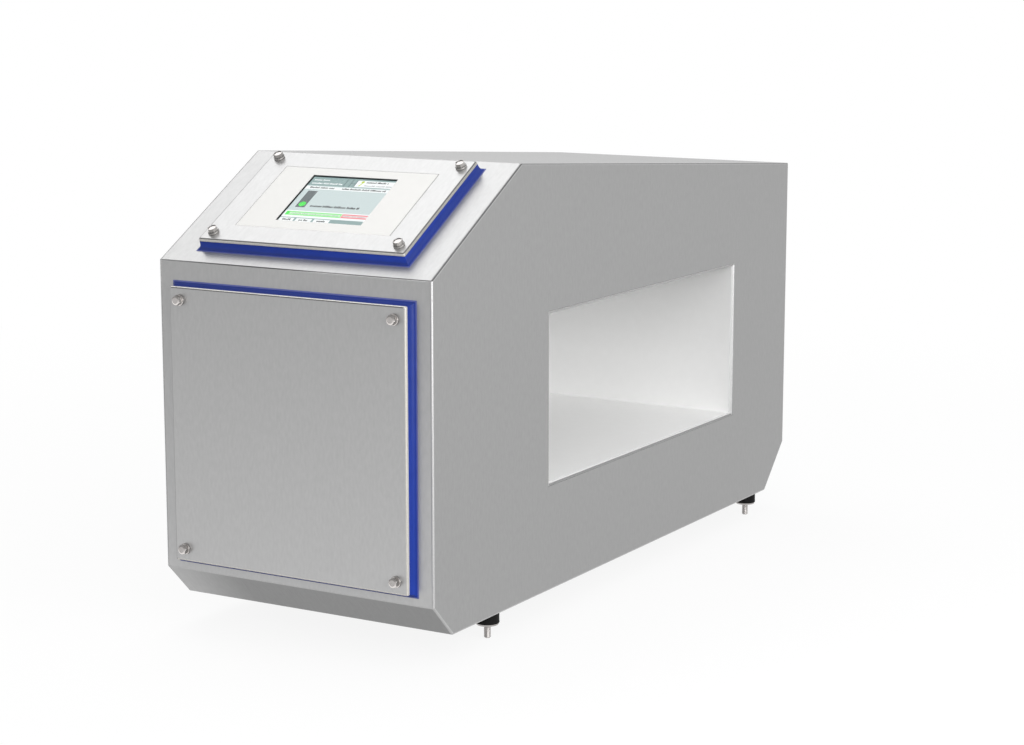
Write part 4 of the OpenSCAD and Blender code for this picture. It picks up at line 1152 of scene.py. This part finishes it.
# Terminals, in millimetres as well
terminals = 24
screw_z, entry_z = 6.5, 3       # how far from the middle they lie
entry_w, entry_h = 4, 2.4
block_low, block_high = np.array(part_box("terminal_blocks")) / MM
pitch = (block_high[0] - block_low[0] + 0.2) / terminals
middle_z = (block_high[2] - block_low[2]) / 2
screw_head = turned([(0, 0.25), (1.5, 0.25), (1.9, 0), (1.9, -0.2), (0, -0.2)], 16)
heads, entries = [], []
for i in range(terminals):
    x = (i + 0.5) * pitch - 0.1
    for side in (-1, 1):
        heads.append(upright(screw_head, x, middle_z + side * screw_z, "terminal_blocks"))
        entries.append(block(x - entry_w / 2, middle_z + side * entry_z - entry_h / 2, entry_w,
                             entry_h, 0.06, 0.4, 0.02, "terminal_blocks"))
piece_of("terminal_screws", heads, "fastener_steel", material=CROWN_STEEL)
# Dark patches on the blocks' face stand for the wire openings: painted shade of the holes
piece_of("terminal_opening_shades", entries, "terminal_plastic", material=CHIP)

# Each eighth terminal is for earth and the one beside it for the neutral wire
middles = of_faces(rounded["terminal_blocks"], "center")
place = ((middles[:, 0] / MM - block_low[0]) / pitch).astype(int) % 8
paint_faces(rounded["terminal_blocks"], np.choose(np.minimum(place, 2), (1, 2, 0)),
            TERMINAL_EARTH, TERMINAL_BLUE)


# Studio
def lamp(name, place, aim, size, power):
    """A soft lamp that looks at a point; its size is its width and its height."""
    data = bpy.data.lights.new(name, "AREA")
    data.shape = "RECTANGLE"
    data.size, data.size_y = size
    data.energy = power
    light = link(name, data)
    light.location = place
    light.rotation_euler = (Vector(aim) - Vector(place)).to_track_quat("-Z", "Y").to_euler()


def seen_ray(tree):
    """1 for rays from the camera and for what metal and glass show, 0 for soft light."""
    path = new_node(tree, "LightPath")
    seen = path.outputs["Is Camera Ray"]
    for ray in ("Is Glossy Ray", "Is Transmission Ray"):
        either = new_node(tree, "Math", operation="MAXIMUM")
        tree.links.new(seen, either.inputs[0])
        tree.links.new(path.outputs[ray], either.inputs[1])
        seen = either.outputs[0]
    return seen


def mixed(tree, share, first, second, output):
    """Mixes two shaders by a share and gives the result to an output node."""
    mix = new_node(tree, "MixShader")
    for place, socket in enumerate((share, first.outputs[0], second.outputs[0])):
        tree.links.new(socket, mix.inputs[place])
    tree.links.new(mix.outputs[0], tree.nodes[output].inputs["Surface"])


def studio():
    """Pale surroundings: white behind the object, a plain soft light level on it."""
    world = bpy.data.worlds.new("studio")
    scene.world = world
    world.use_nodes = True
    tree = world.node_tree
    light = tree.nodes["Background"]
    light.inputs["Color"].default_value = (1, 1, 1, 1)
    light.inputs["Strength"].default_value = 0.72
    white = new_node(tree, "Background", {"Color": (1, 1, 1, 1), "Strength": 1})
    mixed(tree, seen_ray(tree), light, white, "World Output")


def floor():
    """A wide pale floor: soft shadows near the object, plain white farther away."""
    reach, depth = 12.0, 0.5 * MM
    mesh = bpy.data.meshes.new("floor")
    corners = [
        (x * reach, y * reach, -depth) for x, y in ((-1, -1), (1, -1), (1, 1), (-1, 1))
    ]
    mesh.from_pydata(corners, [], [(0, 1, 2, 3)])
    pale = Finish("pale_floor", grey(0.90), roughness=0.9, specular=0)
    tree = pale.tree
    glow = new_node(tree, "Emission", {"Color": (1, 1, 1, 1)})
    tree.links.new(seen_ray(tree), glow.inputs["Strength"])
    place = new_node(tree, "TexCoord")
    away = new_node(tree, "VectorMath", operation="LENGTH")
    share = new_node(tree, "MapRange", {
        "From Min": 0.55, "From Max": 2.2, "To Min": 0.88, "To Max": 1.0
    }, interpolation_type="SMOOTHSTEP")
    tree.links.new(place.outputs["Object"], away.inputs[0])
    tree.links.new(away.outputs["Value"], share.inputs["Value"])
    mixed(tree, share.outputs["Result"], pale.shader, glow, "Material Output")
    mesh.materials.append(pale.material)
    link("floor", mesh)


studio()
floor()
lamp("overhead", (-1.0, 0.35, 2.5), (0, -0.3, 0.45), (1.8, 1.8), 17)
lamp("key", (3.0, -1.6, 1.35), (0, 0, 0.3), (5.0, 3.0), 40)
lamp("mouth_light", (1.5, -0.85, 0.44), (0.1, 0.12, 0.17), (1.8, 0.6), 9.5)
lamp("high_mouth_light", (1.5, -0.9, 1.3), (0.1, 0.1, 0.2), (1.8, 1.8), 8)
